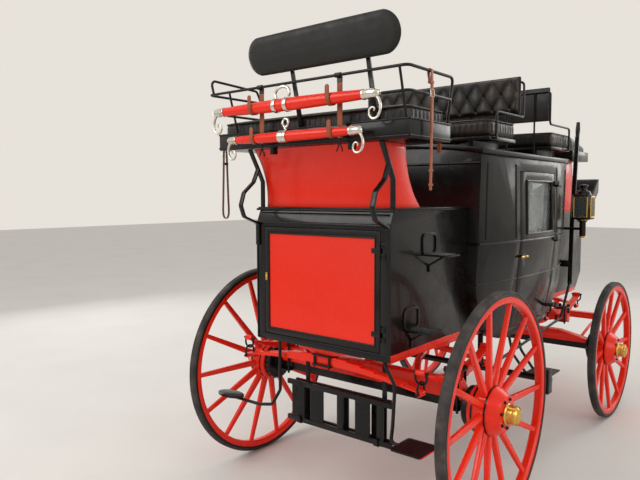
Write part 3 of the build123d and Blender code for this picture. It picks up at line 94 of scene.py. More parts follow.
def add_node(tree, kind, values=None, **settings):
    """Adds a node with its settings first and then its input values."""
    node = tree.nodes.new(kind)
    for key, value in settings.items():
        setattr(node, key, value)
    for key, value in (values or {}).items():
        node.inputs[key].default_value = value
    return node


def wire(tree, *rows):
    """Links nodes; each row is a node, its output, the next node and its input."""
    for source, output, target, socket in rows:
        tree.links.new(source.outputs[output], target.inputs[socket])


class Finish:
    """A node material on Object coordinates, built up from small steps."""

    def __init__(self, name, colour, roughness, metallic=0.0, coat=0.0, coat_roughness=0.05, specular=0.5):
        self.material = bpy.data.materials.new(name)
        self.material.use_nodes = True
        self.tree = self.material.node_tree
        self.link = self.tree.links.new
        self.sockets = self.tree.nodes["Principled BSDF"].inputs
        self.place = add_node(self.tree, "ShaderNodeTexCoord").outputs["Object"]
        self.colour = self.material.diffuse_color = linear(colour)
        for key, value in (("Base Color", self.colour), ("Roughness", roughness), ("Metallic", metallic),
                           ("Coat Weight", coat), ("Coat Roughness", coat_roughness),
                           ("Specular IOR Level", specular)):
            self.sockets[key].default_value = value

    def noise(self, scale, detail, rough=0.55, stretch=None):
        node = add_node(self.tree, "ShaderNodeTexNoise",
                        {"Scale": scale, "Detail": detail, "Roughness": rough})
        place = self.place
        if stretch:
            mapping = add_node(self.tree, "ShaderNodeMapping", {"Scale": stretch})
            self.link(self.place, mapping.inputs["Vector"])
            place = mapping.outputs["Vector"]
        self.link(place, node.inputs["Vector"])
        return node.outputs["Fac"]

    def cells(self, scale):
        node = add_node(self.tree, "ShaderNodeTexVoronoi", {"Scale": scale}, feature="F1")
        self.link(self.place, node.inputs["Vector"])
        return node.outputs["Distance"]

    def ramp(self, value, low, high, start, end):
        node = add_node(self.tree, "ShaderNodeMapRange",
                        {"From Min": low, "From Max": high, "To Min": start, "To Max": end})
        self.link(value, node.inputs["Value"])
        return node.outputs["Result"]

    def stain(self, value, low, high, share, other):
        """Mixes in another sRGB colour, from none of it to its share as value goes from low to high."""
        factor = self.ramp(value, low, high, 0.0, share)
        node = add_node(self.tree, "ShaderNodeMix", {"B": linear(other)}, data_type="RGBA")
        base = self.sockets["Base Color"]
        if base.is_linked:
            self.link(base.links[0].from_socket, node.inputs["A"])
        else:
            node.inputs["A"].default_value = self.colour
        self.link(factor, node.inputs["Factor"])
        self.link(node.outputs["Result"], base)

    def gloss(self, value, low, high):
        """Roughness from low to high over the middle of value's range."""
        self.link(self.ramp(value, 0.3, 0.7, low, high), self.sockets["Roughness"])

    def bump(self, value, distance, strength):
        node = add_node(self.tree, "ShaderNodeBump", {"Distance": distance, "Strength": strength})
        self.link(value, node.inputs["Height"])
        normal = self.sockets["Normal"]
        if normal.is_linked:
            self.link(normal.links[0].from_socket, node.inputs["Normal"])
        self.link(node.outputs["Normal"], normal)


def coach_paint(name, colour, dust, dull=0.0):
    """Varnished paint over wood: a slight brush waviness, thin dust and polish marks."""
    paint = Finish(name, colour, 0.22, coat=0.16, coat_roughness=0.06, specular=0.22)
    paint.stain(paint.noise(2.2, 4), 0.42, 0.72, 0.35, dust)
    paint.stain(paint.noise(38, 5), 0.62, 0.8, 0.2, dust)
    paint.gloss(paint.noise(9, 4), 0.16 + dull, 0.34 + dull)
    paint.bump(paint.noise(55, 2, stretch=(1, 1, 0.12)), 0.0004, 0.25)
    return paint.material


def gloss_japan(name):
    """Black varnish over beaten iron: broad waves break its highlights up."""
    japan = Finish(name, (0.02, 0.018, 0.018), 0.1, specular=0.12)
    japan.stain(japan.noise(30, 4), 0.55, 0.8, 0.4, (0.05, 0.045, 0.045))
    japan.gloss(japan.noise(26, 3), 0.08, 0.2)
    japan.bump(japan.noise(34, 3), 0.003, 0.5)
    return japan.material


def forged_iron(name, colour):
    """Painted wrought iron with a faint hammered surface."""
    iron = Finish(name, colour, 0.3, coat=0.1, coat_roughness=0.12, specular=0.25)
    iron.stain(iron.noise(24, 5), 0.55, 0.8, 0.4, (0.13, 0.115, 0.105))
    iron.gloss(iron.noise(30, 4), 0.24, 0.46)
    iron.bump(iron.cells(70), 0.0006, 0.25)
    return iron.material


def polished(name, colour, low, high, tarnish):
    """Bright metal with tarnish in patches and fine scratches."""
    metal = Finish(name, colour, low, metallic=1.0)
    metal.stain(metal.noise(42, 6), 0.55, 0.78, 0.5, tarnish)
    metal.gloss(metal.noise(60, 5), low, high)
    metal.bump(metal.noise(260, 2), 0.0001, 0.3)
    return metal.material


def hide(name, colour, worn, grain=620.0, roughness=0.36, coat=0.06):
    """Leather: pebbled grain, rubbed lighter patches and fine creases."""
    skin = Finish(name, colour, roughness, coat=coat, coat_roughness=0.25, specular=0.3)
    skin.stain(skin.noise(7, 5), 0.45, 0.75, 0.7, worn)
    skin.stain(skin.noise(70, 4), 0.5, 0.8, 0.35, worn)
    skin.gloss(skin.noise(22, 4), roughness - 0.08, roughness + 0.16)
    skin.bump(skin.cells(grain), 0.0005, 0.35)
    skin.bump(skin.noise(36, 6, 0.7), 0.0012, 0.3)
    return skin.material


def worn_rubber(name):
    rubber = Finish(name, (0.2, 0.188, 0.184), 0.72, specular=0.25)
    rubber.stain(rubber.noise(11, 6), 0.42, 0.7, 0.8, (0.36, 0.33, 0.315))
    rubber.stain(rubber.noise(90, 4), 0.55, 0.75, 0.5, (0.16, 0.15, 0.15))
    rubber.gloss(rubber.noise(40, 5), 0.6, 0.86)
    rubber.bump(rubber.noise(160, 6), 0.0008, 0.5)
    return rubber.material


def varnished_wood(name):
    wood = Finish(name, (0.42, 0.25, 0.12), 0.4, coat=0.3, coat_roughness=0.15)
    grain = wood.noise(14, 6, stretch=(0.6, 9, 9))
    wood.stain(grain, 0.4, 0.66, 0.9, (0.2, 0.1, 0.045))
    wood.gloss(grain, 0.3, 0.5)
    wood.bump(grain, 0.0006, 0.3)
    return wood.material


def plate_glass(name):
    glass = Finish(name, (0.86, 0.92, 0.91), 0.04)
    glass.sockets["Transmission Weight"].default_value = 0.85
    glass.sockets["Alpha"].default_value = 0.45
    glass.gloss(glass.noise(6, 3), 0.02, 0.07)
    return glass.material


def pale_floor(name):
    """Matt floor that the camera sees pale while the light on it stays low."""
    ground = Finish(name, (0.86, 0.85, 0.83), 0.85)
    ground.stain(ground.noise(1.3, 4), 0.4, 0.7, 0.4, (0.82, 0.81, 0.79))
    return ground.material


FINISHES = {}


def make_finishes(colours):
    FINISHES.update({
        "vermilion": coach_paint("Vermilion coach paint", colours.paint_red, (0.86, 0.14, 0.07)),
        "black": coach_paint("Black coach paint", colours.paint_black, (0.09, 0.078, 0.075), 0.02),
        "iron": forged_iron("Black forged iron", (0.045, 0.043, 0.044)),
        "steel": polished("Polished steel", (0.86, 0.84, 0.8), 0.1, 0.28, (0.5, 0.42, 0.33)),
        "brass": polished("Polished brass", (0.87, 0.69, 0.35), 0.14, 0.34, (0.55, 0.36, 0.14)),
        "rubber": worn_rubber("Worn rubber"),
        "seat_leather": hide("Black seat leather", (0.085, 0.072, 0.062), (0.2, 0.15, 0.1)),
        "pad_leather": hide("Smooth pad leather", (0.125, 0.125, 0.12), (0.165, 0.16, 0.15),
                            800.0, 0.48, 0.0),
        "tan_leather": hide("Tan bridle leather", (0.56, 0.285, 0.16), (0.68, 0.38, 0.23), 900.0, 0.42),
        "dark_leather": hide("Dark bridle leather", (0.3, 0.155, 0.1), (0.42, 0.24, 0.16), 900.0, 0.42),
        "piping": hide("Leather piping", (0.06, 0.05, 0.045), (0.12, 0.09, 0.07), 900.0, 0.3, 0.1),
        "wood": varnished_wood("Varnished seat board"),
        "glass": plate_glass("Window glass"),
        "lamp_glass": plate_glass("Bevelled lamp glass"),
        "floor": pale_floor("Pale floor"),
        "gloss_black": gloss_japan("Gloss black tread"),
    })


# Pieces --------------------------------------------------------------------

def smooth(mesh, angle):
    for face in mesh.polygons:
        face.use_smooth = True
    mesh.set_sharp_from_angle(angle=math.radians(angle))


def new_object(name, data):
    obj = bpy.data.objects.new(name, data)
    bpy.context.scene.collection.objects.link(obj)
    return obj


def from_bmesh(name, shape, finish, angle=38.0):
    mesh = bpy.data.meshes.new(name)
    bmesh.ops.recalc_face_normals(shape, faces=shape.faces)
    shape.to_mesh(mesh)
    shape.free()
    smooth(mesh, angle)
    mesh.materials.append(FINISHES[finish])
    return new_object(name, mesh)


def settle(obj, body, node=None):
    """Rides the piece on its body; it may stand for a CAD node, which it hides."""
    if node:
        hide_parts(node)
    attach(obj, body)


def piece(name, shape, finish, body="coach", angle=38.0, node=None):
    settle(from_bmesh(name, shape, finish, angle), body, node)


def apply_modifiers(obj):
    """Bakes what its modifiers make into a plain mesh."""
    graph = bpy.context.evaluated_depsgraph_get()
    mesh = bpy.data.meshes.new_from_object(obj.evaluated_get(graph))
    obj.modifiers.clear()
    old, obj.data = obj.data, mesh
    mesh.name = obj.name
    bpy.data.meshes.remove(old)


def softened(node, finish, bevel, name=None, angle=32.0):
    """Merged copy of a CAD node with its sharp edges rounded, standing for that node."""
    mesh = nodes[node].data.copy()
    mesh.name = name or node + "_finished"
    obj = new_object(mesh.name, mesh)
    mesh.materials.clear()
    mesh.materials.append(FINISHES[finish])
    shape = bmesh.new()
    shape.from_mesh(mesh)
    bmesh.ops.remove_doubles(shape, verts=shape.verts, dist=0.00002)
    bmesh.ops.dissolve_limit(shape, angle_limit=math.radians(0.6), verts=shape.verts, edges=shape.edges)
    shape.to_mesh(mesh)
    shape.free()
    for layer in list(mesh.uv_layers):
        mesh.uv_layers.remove(layer)
    if bevel:
        modifier = obj.modifiers.new("Edges", "BEVEL")
        modifier.width = bevel
        modifier.segments = 2
        modifier.limit_method = "ANGLE"
        modifier.angle_limit = math.radians(angle)
        apply_modifiers(obj)
    smooth(obj.data, 35.0)
    for face in obj.data.polygons:
        face.material_index = 0
    settle(obj, BODY_OF[node], node)
    return obj


def paint_faces(obj, finish, test):
    """Gives a second finish to the faces whose centre and normal pass the test."""
    obj.data.materials.append(FINISHES[finish])
    index = len(obj.data.materials) - 1
    for face in obj.data.polygons:
        if test(face.center, face.normal):
            face.material_index = index


# Shapes --------------------------------------------------------------------

def circle(steps):
    turns = [math.tau * k / steps for k in range(steps)]
    return [(math.cos(turn), math.sin(turn)) for turn in turns]


def rect(x0, x1, y0, y1):
    return (x0, y0), (x1, y0), (x1, y1), (x0, y1)


def sides_of(corners):
    """Pairs of neighbouring corners round a closed outline."""
    return zip(corners, [*corners[1:], corners[0]])


def guide_for(way):
    """An axis that the direction doesn't run along."""
    return X_AXIS if abs(way.z) > 0.95 else Z_AXIS


def axis_frame(centre, direction):
    """Matrix at the centre whose z runs along the direction."""
    z = Vector(direction).normalized()
    x = guide_for(z).cross(z).normalized()
    matrix = Matrix((x, z.cross(x), z)).transposed().to_4x4()
    matrix.translation = Vector(centre)
    return matrix


def directions(points):
    """Direction of travel at each point."""
    return [(b - a).normalized() for a, b in zip([points[0], *points], [*points[1:], points[-1]])]


def skin_rings(shape, rings, capped=True):
    """Quads from each ring of points to the next, with a face over each end."""
    for a, b in zip(rings, rings[1:]):
        for k in range(len(a)):
            n = (k + 1) % len(a)
            shape.faces.new((a[k], a[n], b[n], b[k]))
    if capped:
        shape.faces.new(rings[0][::-1])
        shape.faces.new(rings[-1])


def mirrored(rows):
    """A whole turned profile from its half past the middle."""
    return [*[(radius, -along) for radius, along in reversed(rows) if along], *rows]


def add_lathe(shape, centre, direction, profile, steps=32):
    """Turned form; profile rows are (radius, distance along the direction)."""
    matrix = axis_frame(centre, direction)
    rings = [[shape.verts.new(matrix @ Vector((radius * c, radius * s, along)))
              for c, s in (circle(steps) if radius else ((0, 0),))] for radius, along in profile]
    if len(rings[0]) > 1 and len(rings[-1]) > 1:
        rings.append(rings[0])
    for a, b in zip(rings, rings[1:]):
        for k in range(steps):
            n = (k + 1) % steps
            corners = dict.fromkeys((a[k % len(a)], a[n % len(a)], b[n % len(b)], b[k % len(b)]))
            if len(corners) > 2:
                shape.faces.new(list(corners))


def add_tube(shape, points, radius, steps=8, taper=None):
    """Round bar through points; taper gives each point's share of the radius."""
    points = [Vector(p) for p in points]
    ways = directions(points)
    side = ways[0].cross(guide_for(ways[0])).normalized()
    rings = []
    for i, (point, along) in enumerate(zip(points, ways)):
        side = (side - along * side.dot(along)).normalized()
        over = along.cross(side)
        size = radius * (taper[i] if taper else 1.0)
        rings.append([shape.verts.new(point + side * size * c + over * size * s) for c, s in circle(steps)])
    skin_rings(shape, rings)


def add_frame(shape, corners, radius, steps=8):
    """A straight bar along each side of a closed outline."""
    for ends in sides_of(corners):
        add_tube(shape, ends, radius, steps)


def add_box(shape, low, high, bevel):
    low, high = Vector(low), Vector(high)
    size = high - low
    made = bmesh.ops.create_cube(shape, size=1.0)["verts"]
    for vert in made:
        vert.co = [low[i] + (vert.co[i] + 0.5) * size[i] for i in range(3)]
    edges = dict.fromkeys(edge for vert in made for edge in vert.link_edges)
    bmesh.ops.bevel(shape, geom=list(edges), offset=bevel, segments=2, affect="EDGES", clamp_overlap=True)


def add_buckle(shape, foot, across, half_width, height, wire_radius):
    """Square wire buckle that stands on its foot."""
    path = [Vector(foot) + across * a + Z_AXIS * z
            for a, z in (*rect(-half_width, half_width, 0, height), (-half_width, 0))]
    add_tube(shape, path, wire_radius)


def smooth_path(points, steps):
    """Catmull-Rom points through the given ones."""
    points = [Vector(p) for p in points]
    ends = [points[0] * 2 - points[1], *points, points[-1] * 2 - points[-2]]
    path = []
    for a, b, c, d in zip(ends, ends[1:], ends[2:], ends[3:]):
        for t in (k / steps for k in range(steps)):
            path.append(0.5 * ((2 * b) + (c - a) * t + (2 * a - 5 * b + 4 * c - d) * t * t
                               + (3 * b - a - 3 * c + d) * t ** 3))
    return [*path, points[-1]]


def strap_run(shape, points, half_width, half_thick, across=X_AXIS, shares=None):
    """Flat strap with rounded edges along points; shares give each point's part of the full width."""
    points = [Vector(p) for p in points]
    profile = ((-1.0, -0.55), (-0.94, -1.0), (0.94, -1.0), (1.0, -0.55),
               (1.0, 0.55), (0.94, 1.0), (-0.94, 1.0), (-1.0, 0.55))
    rings = []
    for i, (point, along) in enumerate(zip(points, directions(points))):
        up = along.cross(across).normalized()
        here = half_width * (shares[i] if shares else 1.0)
        rings.append([shape.verts.new(point + across * here * a + up * half_thick * b) for a, b in profile])
    skin_rings(shape, rings)


def strap_loop(shape, x, y, z, radius):
    """Strap passed under a bar and up its front; its rounded tongue stands above the top."""
    half_width, half_thick = 0.0125, 0.0017
    reach = radius + half_thick
    points = [(x + 0.016, y + reach + 0.003, z - 0.004)]
    for k in range(15):
        turn = math.radians(-85 + 175 * k / 14)
        points.append((x, y - reach * math.sin(turn), z - reach * math.cos(turn)))
    points.append((x, y - reach, z + radius * 0.5))
    shares = [1.0] * len(points)
    for turn in (HALF_PI * k / 7 for k in range(8)):
        points.append((x, y - reach, z + radius + 0.02 + half_width * math.sin(turn)))
        shares.append(max(0.08, math.cos(turn)))
    strap_run(shape, points, half_width, half_thick, shares=shares)


def lozenges(shape, origin, up, width, height, pitch, rise, normal):
    """Raised diamond pattern: two sets of slanted ribs clipped to a rectangle that runs along X."""
    for lean in (-1, 1):
        for k in range(-int(height / pitch) - 1, math.ceil((width + height) / pitch)):
            start = k * pitch
            low, high = max(0.0, start), min(width, start + height)
            if high - low > 0.003:
                add_tube(shape, [Vector(origin) + X_AXIS * u - normal * rise * 0.2
                                 + up * (u - start if lean > 0 else start + height - u) for u in (low, high)],
                         rise * 0.62, 6)


# Fasteners -----------------------------------------------------------------

# Radius and height, the washer's share of the radius, sides, and the top's share of the radius
HEADS = {
    "hub bolt": (0.007, 0.007, 1.45, 6, 0.86),
    "rivet": (0.0042, 0.0028, 1.3, 10, 0.7),
    "clip nut": (0.0125, 0.012, 1.25, 6, 0.92),
    "hinge screw": (0.0032, 0.0015, 1.0, 12, 0.6),
    "seat bolt": (0.0065, 0.005, 1.2, 16, 0.55),
    "button": (0.0075, 0.0045, 1.0, 20, 0.55),
    "ferrule screw": (0.0028, 0.0014, 1.0, 14, 0.6),
}
TREES = {}


def fastener_tree(sides, dome):
    """Geometry Nodes tree: a head on a washer at every point, facing the way the point says."""
    tree = bpy.data.node_groups.new(f"Fastener with {sides} sides", "GeometryNodeTree")
    for label, kind in (("Points", "Geometry"), ("Head radius", "Float"), ("Head height", "Float"),
                        ("Washer radius", "Float"), ("Washer height", "Float"), ("Finish", "Material")):
        tree.interface.new_socket(label, in_out="INPUT", socket_type="NodeSocket" + kind)
    tree.interface.new_socket("Heads", in_out="OUTPUT", socket_type="NodeSocketGeometry")
    given = add_node(tree, "NodeGroupInput")
    out = add_node(tree, "NodeGroupOutput")
    head = add_node(tree, "GeometryNodeMeshCone", {"Vertices": sides})
    top = add_node(tree, "ShaderNodeMath", {1: dome}, operation="MULTIPLY")
    lift = add_node(tree, "ShaderNodeCombineXYZ")
    raised = add_node(tree, "GeometryNodeTransform")
    washer = add_node(tree, "GeometryNodeMeshCone", {"Vertices": 14})
    rim = add_node(tree, "ShaderNodeMath", {1: 0.9}, operation="MULTIPLY")
    join = add_node(tree, "GeometryNodeJoinGeometry")
    facing = add_node(tree, "GeometryNodeInputNamedAttribute", {"Name": "facing"}, data_type="FLOAT_VECTOR")
    turn = add_node(tree, "FunctionNodeAlignRotationToVector", axis="Z")
    points = add_node(tree, "GeometryNodeMeshToPoints")
    place = add_node(tree, "GeometryNodeInstanceOnPoints")
    real = add_node(tree, "GeometryNodeRealizeInstances")
    coat = add_node(tree, "GeometryNodeSetMaterial")
    wire(tree, (given, "Head radius", top, 0), (top, 0, head, "Radius Top"),
         (given, "Head radius", head, "Radius Bottom"), (given, "Head height", head, "Depth"),
         (given, "Washer height", lift, "Z"), (head, "Mesh", raised, "Geometry"),
         (lift, "Vector", raised, "Translation"), (given, "Washer radius", washer, "Radius Bottom"),
         (given, "Washer radius", rim, 0), (rim, 0, washer, "Radius Top"),
         (given, "Washer height", washer, "Depth"), (raised, "Geometry", join, "Geometry"),
         (washer, "Mesh", join, "Geometry"), (facing, "Attribute", turn, "Vector"),
         (given, "Points", points, "Mesh"), (points, "Points", place, "Points"),
         (join, "Geometry", place, "Instance"), (turn, "Rotation", place, "Rotation"),
         (place, "Instances", real, "Geometry"), (real, "Geometry", coat, "Geometry"),
         (given, "Finish", coat, "Material"), (coat, "Geometry", out, "Heads"))
    return tree


def fasteners(name, head, places, finish, body="coach"):
    """Bolt heads, screws or rivets at (point, facing) places, made by the fastener tree."""
    radius, height, washer, *form = HEADS[head]
    if head not in TREES:
        TREES[head] = fastener_tree(*form)
    mesh = bpy.data.meshes.new(name)
    mesh.from_pydata([Vector(point) for point, _ in places], [], [])
    facing = mesh.attributes.new("facing", "FLOAT_VECTOR", "POINT")
    for row, (_, way) in zip(facing.data, places):
        row.vector = Vector(way).normalized()
    obj = new_object(name, mesh)
    modifier = obj.modifiers.new("Heads", "NODES")
    modifier.node_group = TREES[head]
    values = {"Head radius": radius, "Head height": height, "Washer radius": radius * washer,
              "Washer height": height * 0.3, "Finish": FINISHES[finish]}
    for item in TREES[head].interface.items_tree:
        if item.name in values:
            modifier[item.identifier] = values[item.name]
    apply_modifiers(obj)
    shape = bmesh.new()
    shape.from_mesh(obj.data)
    bmesh.ops.recalc_face_normals(shape, faces=shape.faces)
    shape.to_mesh(obj.data)
    shape.free()
    smooth(obj.data, 30.0)
    settle(obj, body)


# Soft goods ----------------------------------------------------------------

def pleats(pitch, depth):
    """Relief for a pad: upright pleats round its sides."""
    def relief(u, point):
        deep = depth * (1 - u.z * u.z)
        wave = math.sin(point.x * math.tau / pitch) * deep * (abs(u.y) > 0.9)
        ends = math.sin(point.y * math.tau / pitch) * deep * (abs(u.x) > 0.97)
        return Vector((ends * (1 if u.x > 0 else -1), wave * (1 if u.y > 0 else -1), 0))
    return relief


def pad(name, low, high, node, crown, edge, steps, relief):
    """Crowned cushion: a rounded box whose top swells and whose sides pull in between corners."""
    middle, half = (low + high) / 2, (high - low) / 2
    pull = 0.004
    shape = bmesh.new()
    grid = {}

    def vert(index):
        if index not in grid:
            u = Vector([2 * i / count - 1 for i, count in zip(index, steps)])
            point = Vector([u[a] * half[a] for a in range(3)])
            core = Vector([max(edge - half[a], min(half[a] - edge, point[a])) for a in range(3)])
            off = point - core
            if off.length > 1e-9:
                point = core + off.normalized() * min(off.length, edge)
            free = [max(1 - share ** 2, 0) for share in u]
            for a in range(3):
                lift = math.sqrt(free[(a + 1) % 3] * free[(a + 2) % 3])
                point[a] += ((crown * lift if a == 2 else 0.0) - pull * (1 - lift) * abs(u[a])) * u[a]
            grid[index] = shape.verts.new(middle + point + relief(u, point))
        return grid[index]

    for axis in range(3):
        b, c = (axis + 1) % 3, (axis + 2) % 3
        for end in (0, steps[axis]):
            for m in range(steps[b]):
                for n in range(steps[c]):
                    corners = []
                    for dm, dn in rect(0, 1, 0, 1):
                        index = [end] * 3
                        index[b], index[c] = m + dm, n + dn
                        corners.append(vert(tuple(index)))
                    shape.faces.new(corners if end else corners[::-1])
    obj = from_bmesh(name, shape, "seat_leather", 60.0)
    modifier = obj.modifiers.new("Rounder", "SUBSURF")
    modifier.levels = modifier.render_levels = 1
    apply_modifiers(obj)
    smooth(obj.data, 60.0)
    settle(obj, "coach", node)


def closed_piping(name, points, radius):
    """Round leather piping along a closed path."""
    shape = bmesh.new()
    add_tube(shape, [*points, points[0]], radius)
    bmesh.ops.remove_doubles(shape, verts=shape.verts, dist=0.0001)
    piece(name, shape, "piping", angle=60.0)


def cushion_piping(name, low, high, z):
    """Piping round a cushion's edge, at one height."""
    inset, corner = 0.004, 0.03
    centres = reversed(rect(low.x + inset + corner, high.x - inset - corner,
                            low.y + inset + corner, high.y - inset - corner))
    points = []
    for (x, y), start in zip(centres, (1, 0, 3, 2)):
        arc = [HALF_PI * (start + k / 6) for k in range(7)]
        points.append([(x + corner * math.cos(turn), y + corner * math.sin(turn), z) for turn in arc])
    closed_piping(name, [*points[1], *points[0], *points[3], *points[2]], 0.0045)


def tufted_back(name, low, high, facing):
    """Padded back; its buttons stand in staggered rows and creases join them in diamonds."""
    across, rows = settings().tuft_spacing, 0.084
    deep = settings().tuft_depth
    middle, half = (low + high) / 2, (high - low) / 2
    columns, lines = 300, 60

    def surface(u, v):
        """How far the leather stands out, at shares of the half width and height."""
        x, z = u * half.x, v * half.z
        p, q = x / across + z / (2 * rows), x / across - z / (2 * rows)
        pillow = (abs(math.sin(math.pi * p)) * abs(math.sin(math.pi * q))) ** 0.42
        dp, dq = (p - round(p)) * across, (q - round(q)) * across
        pit = math.exp(-(dp * dp + dq * dq) / 0.00022)
        edge = min(1.0, (1 - abs(u)) * half.x / 0.03) * min(1.0, (1 - abs(v)) * half.z / 0.026)
        edge = math.sqrt(max(0.0, 1 - (1 - edge) ** 2))
        body = -0.4 * half.y + edge * (1.4 * half.y + 0.006)
        return body - edge * deep * (0.62 * (1 - pillow) + 0.38 * pit)

    def place(x, out, z):
        return middle + Vector((x, facing * out, z))

    shape = bmesh.new()
    grid = [[shape.verts.new(place(u * half.x, surface(u, v), v * half.z))
             for v in (2 * j / lines - 1 for j in range(lines + 1))]
            for u in (2 * i / columns - 1 for i in range(columns + 1))]
    for a, b in zip(grid, grid[1:]):
        for j in range(lines):
            shape.faces.new((a[j], b[j], b[j + 1], a[j + 1]))
    rim = [row[0] for row in grid] + grid[-1][1:]
    rim += [row[-1] for row in reversed(grid[:-1])] + grid[0][-2:0:-1]
    rear = [shape.verts.new(place(off.x, -half.y, off.z)) for off in [vert.co - middle for vert in rim]]
    skin_rings(shape, (rim, rear), capped=False)
    shape.faces.new(rear)
    piece(name, shape, "seat_leather", angle=75.0, node="roof_backs")
    buttons = []
    reach = 2 * (int(half.x / across) + 2)
    for m in range(-reach, reach):
        for n in range(-reach, reach):
            x, z = (m + n) * across / 2, (m - n) * rows
            u, v = x / half.x, z / half.z
            if abs(u) < 0.965 and abs(v) < 0.86:
                buttons.append((place(x, surface(u, v) - 0.001, z), (0, facing, 0)))
    fasteners(name + "_buttons", "button", buttons, "piping")
    shape = bmesh.new()
    outline = rect(-half.x, half.x, -half.z, half.z)
    add_frame(shape, [place(x, -0.4 * half.y, z) for x, z in outline], 0.0048)
    piece(name + "_piping", shape, "piping", angle=60.0)


# The coach -----------------------------------------------------------------

class CoachSettings(bpy.types.PropertyGroup):
    paint_red: bpy.props.FloatVectorProperty(
        name="Carriage red", description="Vermilion of the wheels, springs, boot door and risers",
        subtype="COLOR_GAMMA", size=3, min=0.0, max=1.0, default=(0.925, 0.17, 0.085))
    paint_black: bpy.props.FloatVectorProperty(
        name="Body black", description="Gloss black of the body and the boots",
        subtype="COLOR_GAMMA", size=3, min=0.0, max=1.0, default=(0.062, 0.05, 0.05))
    edge_round: bpy.props.FloatProperty(
        name="Edge rounding", description="Radius worn onto the painted edges", unit="LENGTH",
        min=0.0005, max=0.006, default=0.0022)
    tuft_spacing: bpy.props.FloatProperty(
        name="Button spacing", description="Distance between buttons along a tufted back", unit="LENGTH",
        min=0.06, max=0.2, default=0.112)
    tuft_depth: bpy.props.FloatProperty(
        name="Tuft depth", description="How deep the buttons draw the leather in", unit="LENGTH",
        min=0.004, max=0.03, default=0.021)


def settings():
    return bpy.context.scene.coach_settings


class COACH_OT_stage(bpy.types.Operator):
    """Floor, soft lights and the camera at the photograph's angle"""
    bl_idname = "coach.stage"
    bl_label = "Stage and camera"

    def execute(self, context):
        scene = context.scene
        scene.view_settings.view_transform = "Standard"
        shape = bmesh.new()
        bmesh.ops.create_grid(shape, x_segments=2, y_segments=2, size=30.0)
        from_bmesh("Floor", shape, "floor")
        world = bpy.data.worlds.new("Studio")
        scene.world = world
        world.use_nodes = True
        tree = world.node_tree
        sky = tree.nodes["Background"]
        sky.inputs["Color"].default_value = (0.86, 0.84, 0.81, 1.0)
        sky.inputs["Strength"].default_value = 0.8
        # Seen and mirrored sky is a plain backdrop; only light on matt surfaces takes the sky's own strength
        seen = add_node(tree, "ShaderNodeBackground", {"Color": (0.8, 0.76, 0.7, 1.0), "Strength": 1.0})
        path = add_node(tree, "ShaderNodeLightPath")
        either = add_node(tree, "ShaderNodeMath", operation="MAXIMUM")
        mix = add_node(tree, "ShaderNodeMixShader")
        any_of = add_node(tree, "ShaderNodeMath", operation="MAXIMUM")
        wire(tree, (path, "Is Camera Ray", either, 0), (path, "Is Glossy Ray", either, 1),
             (either, 0, any_of, 0), (path, "Is Transmission Ray", any_of, 1), (any_of, 0, mix, "Fac"),
             (sky, "Background", mix, 1), (seen, "Background", mix, 2),
             (mix, "Shader", tree.nodes["World Output"], "Surface"))
        for name, place, aim, size, power in (  # metres and watts
                ("Key", (-2.5, -6.0, 4.6), (0.0, -0.6, 1.1), 3.4, 150.0),
                ("Side", (6.0, -1.5, 3.2), (0.0, -0.6, 1.1), 3.0, 70.0),
                ("Front", (2.5, 6.5, 4.2), (0.0, 0.2, 1.1), 3.6, 90.0),
                ("Left", (-6.5, 0.6, 2.8), (0.0, -0.2, 1.1), 3.0, 60.0),
                ("Top", (0.0, 0.0, 6.5), (0.0, 0.0, 0.0), 4.5, 60.0)):
            light = bpy.data.lights.new(name, "AREA")
            light.size = size
            light.energy = power
            new_object(name, light).matrix_world = axis_frame(place, Vector(place) - Vector(aim))
        camera = bpy.data.cameras.new("Camera")
        camera.sensor_width = 36.0
        camera.lens = 34.875
        scene.camera = new_object("Camera", camera)
        scene.camera.location = (2.0655, BOOT_REAR - 2.4722, 1.6766)
        scene.camera.rotation_euler = [math.radians(a) for a in (85.918, 0.142, 39.694)]
        return {"FINISHED"}


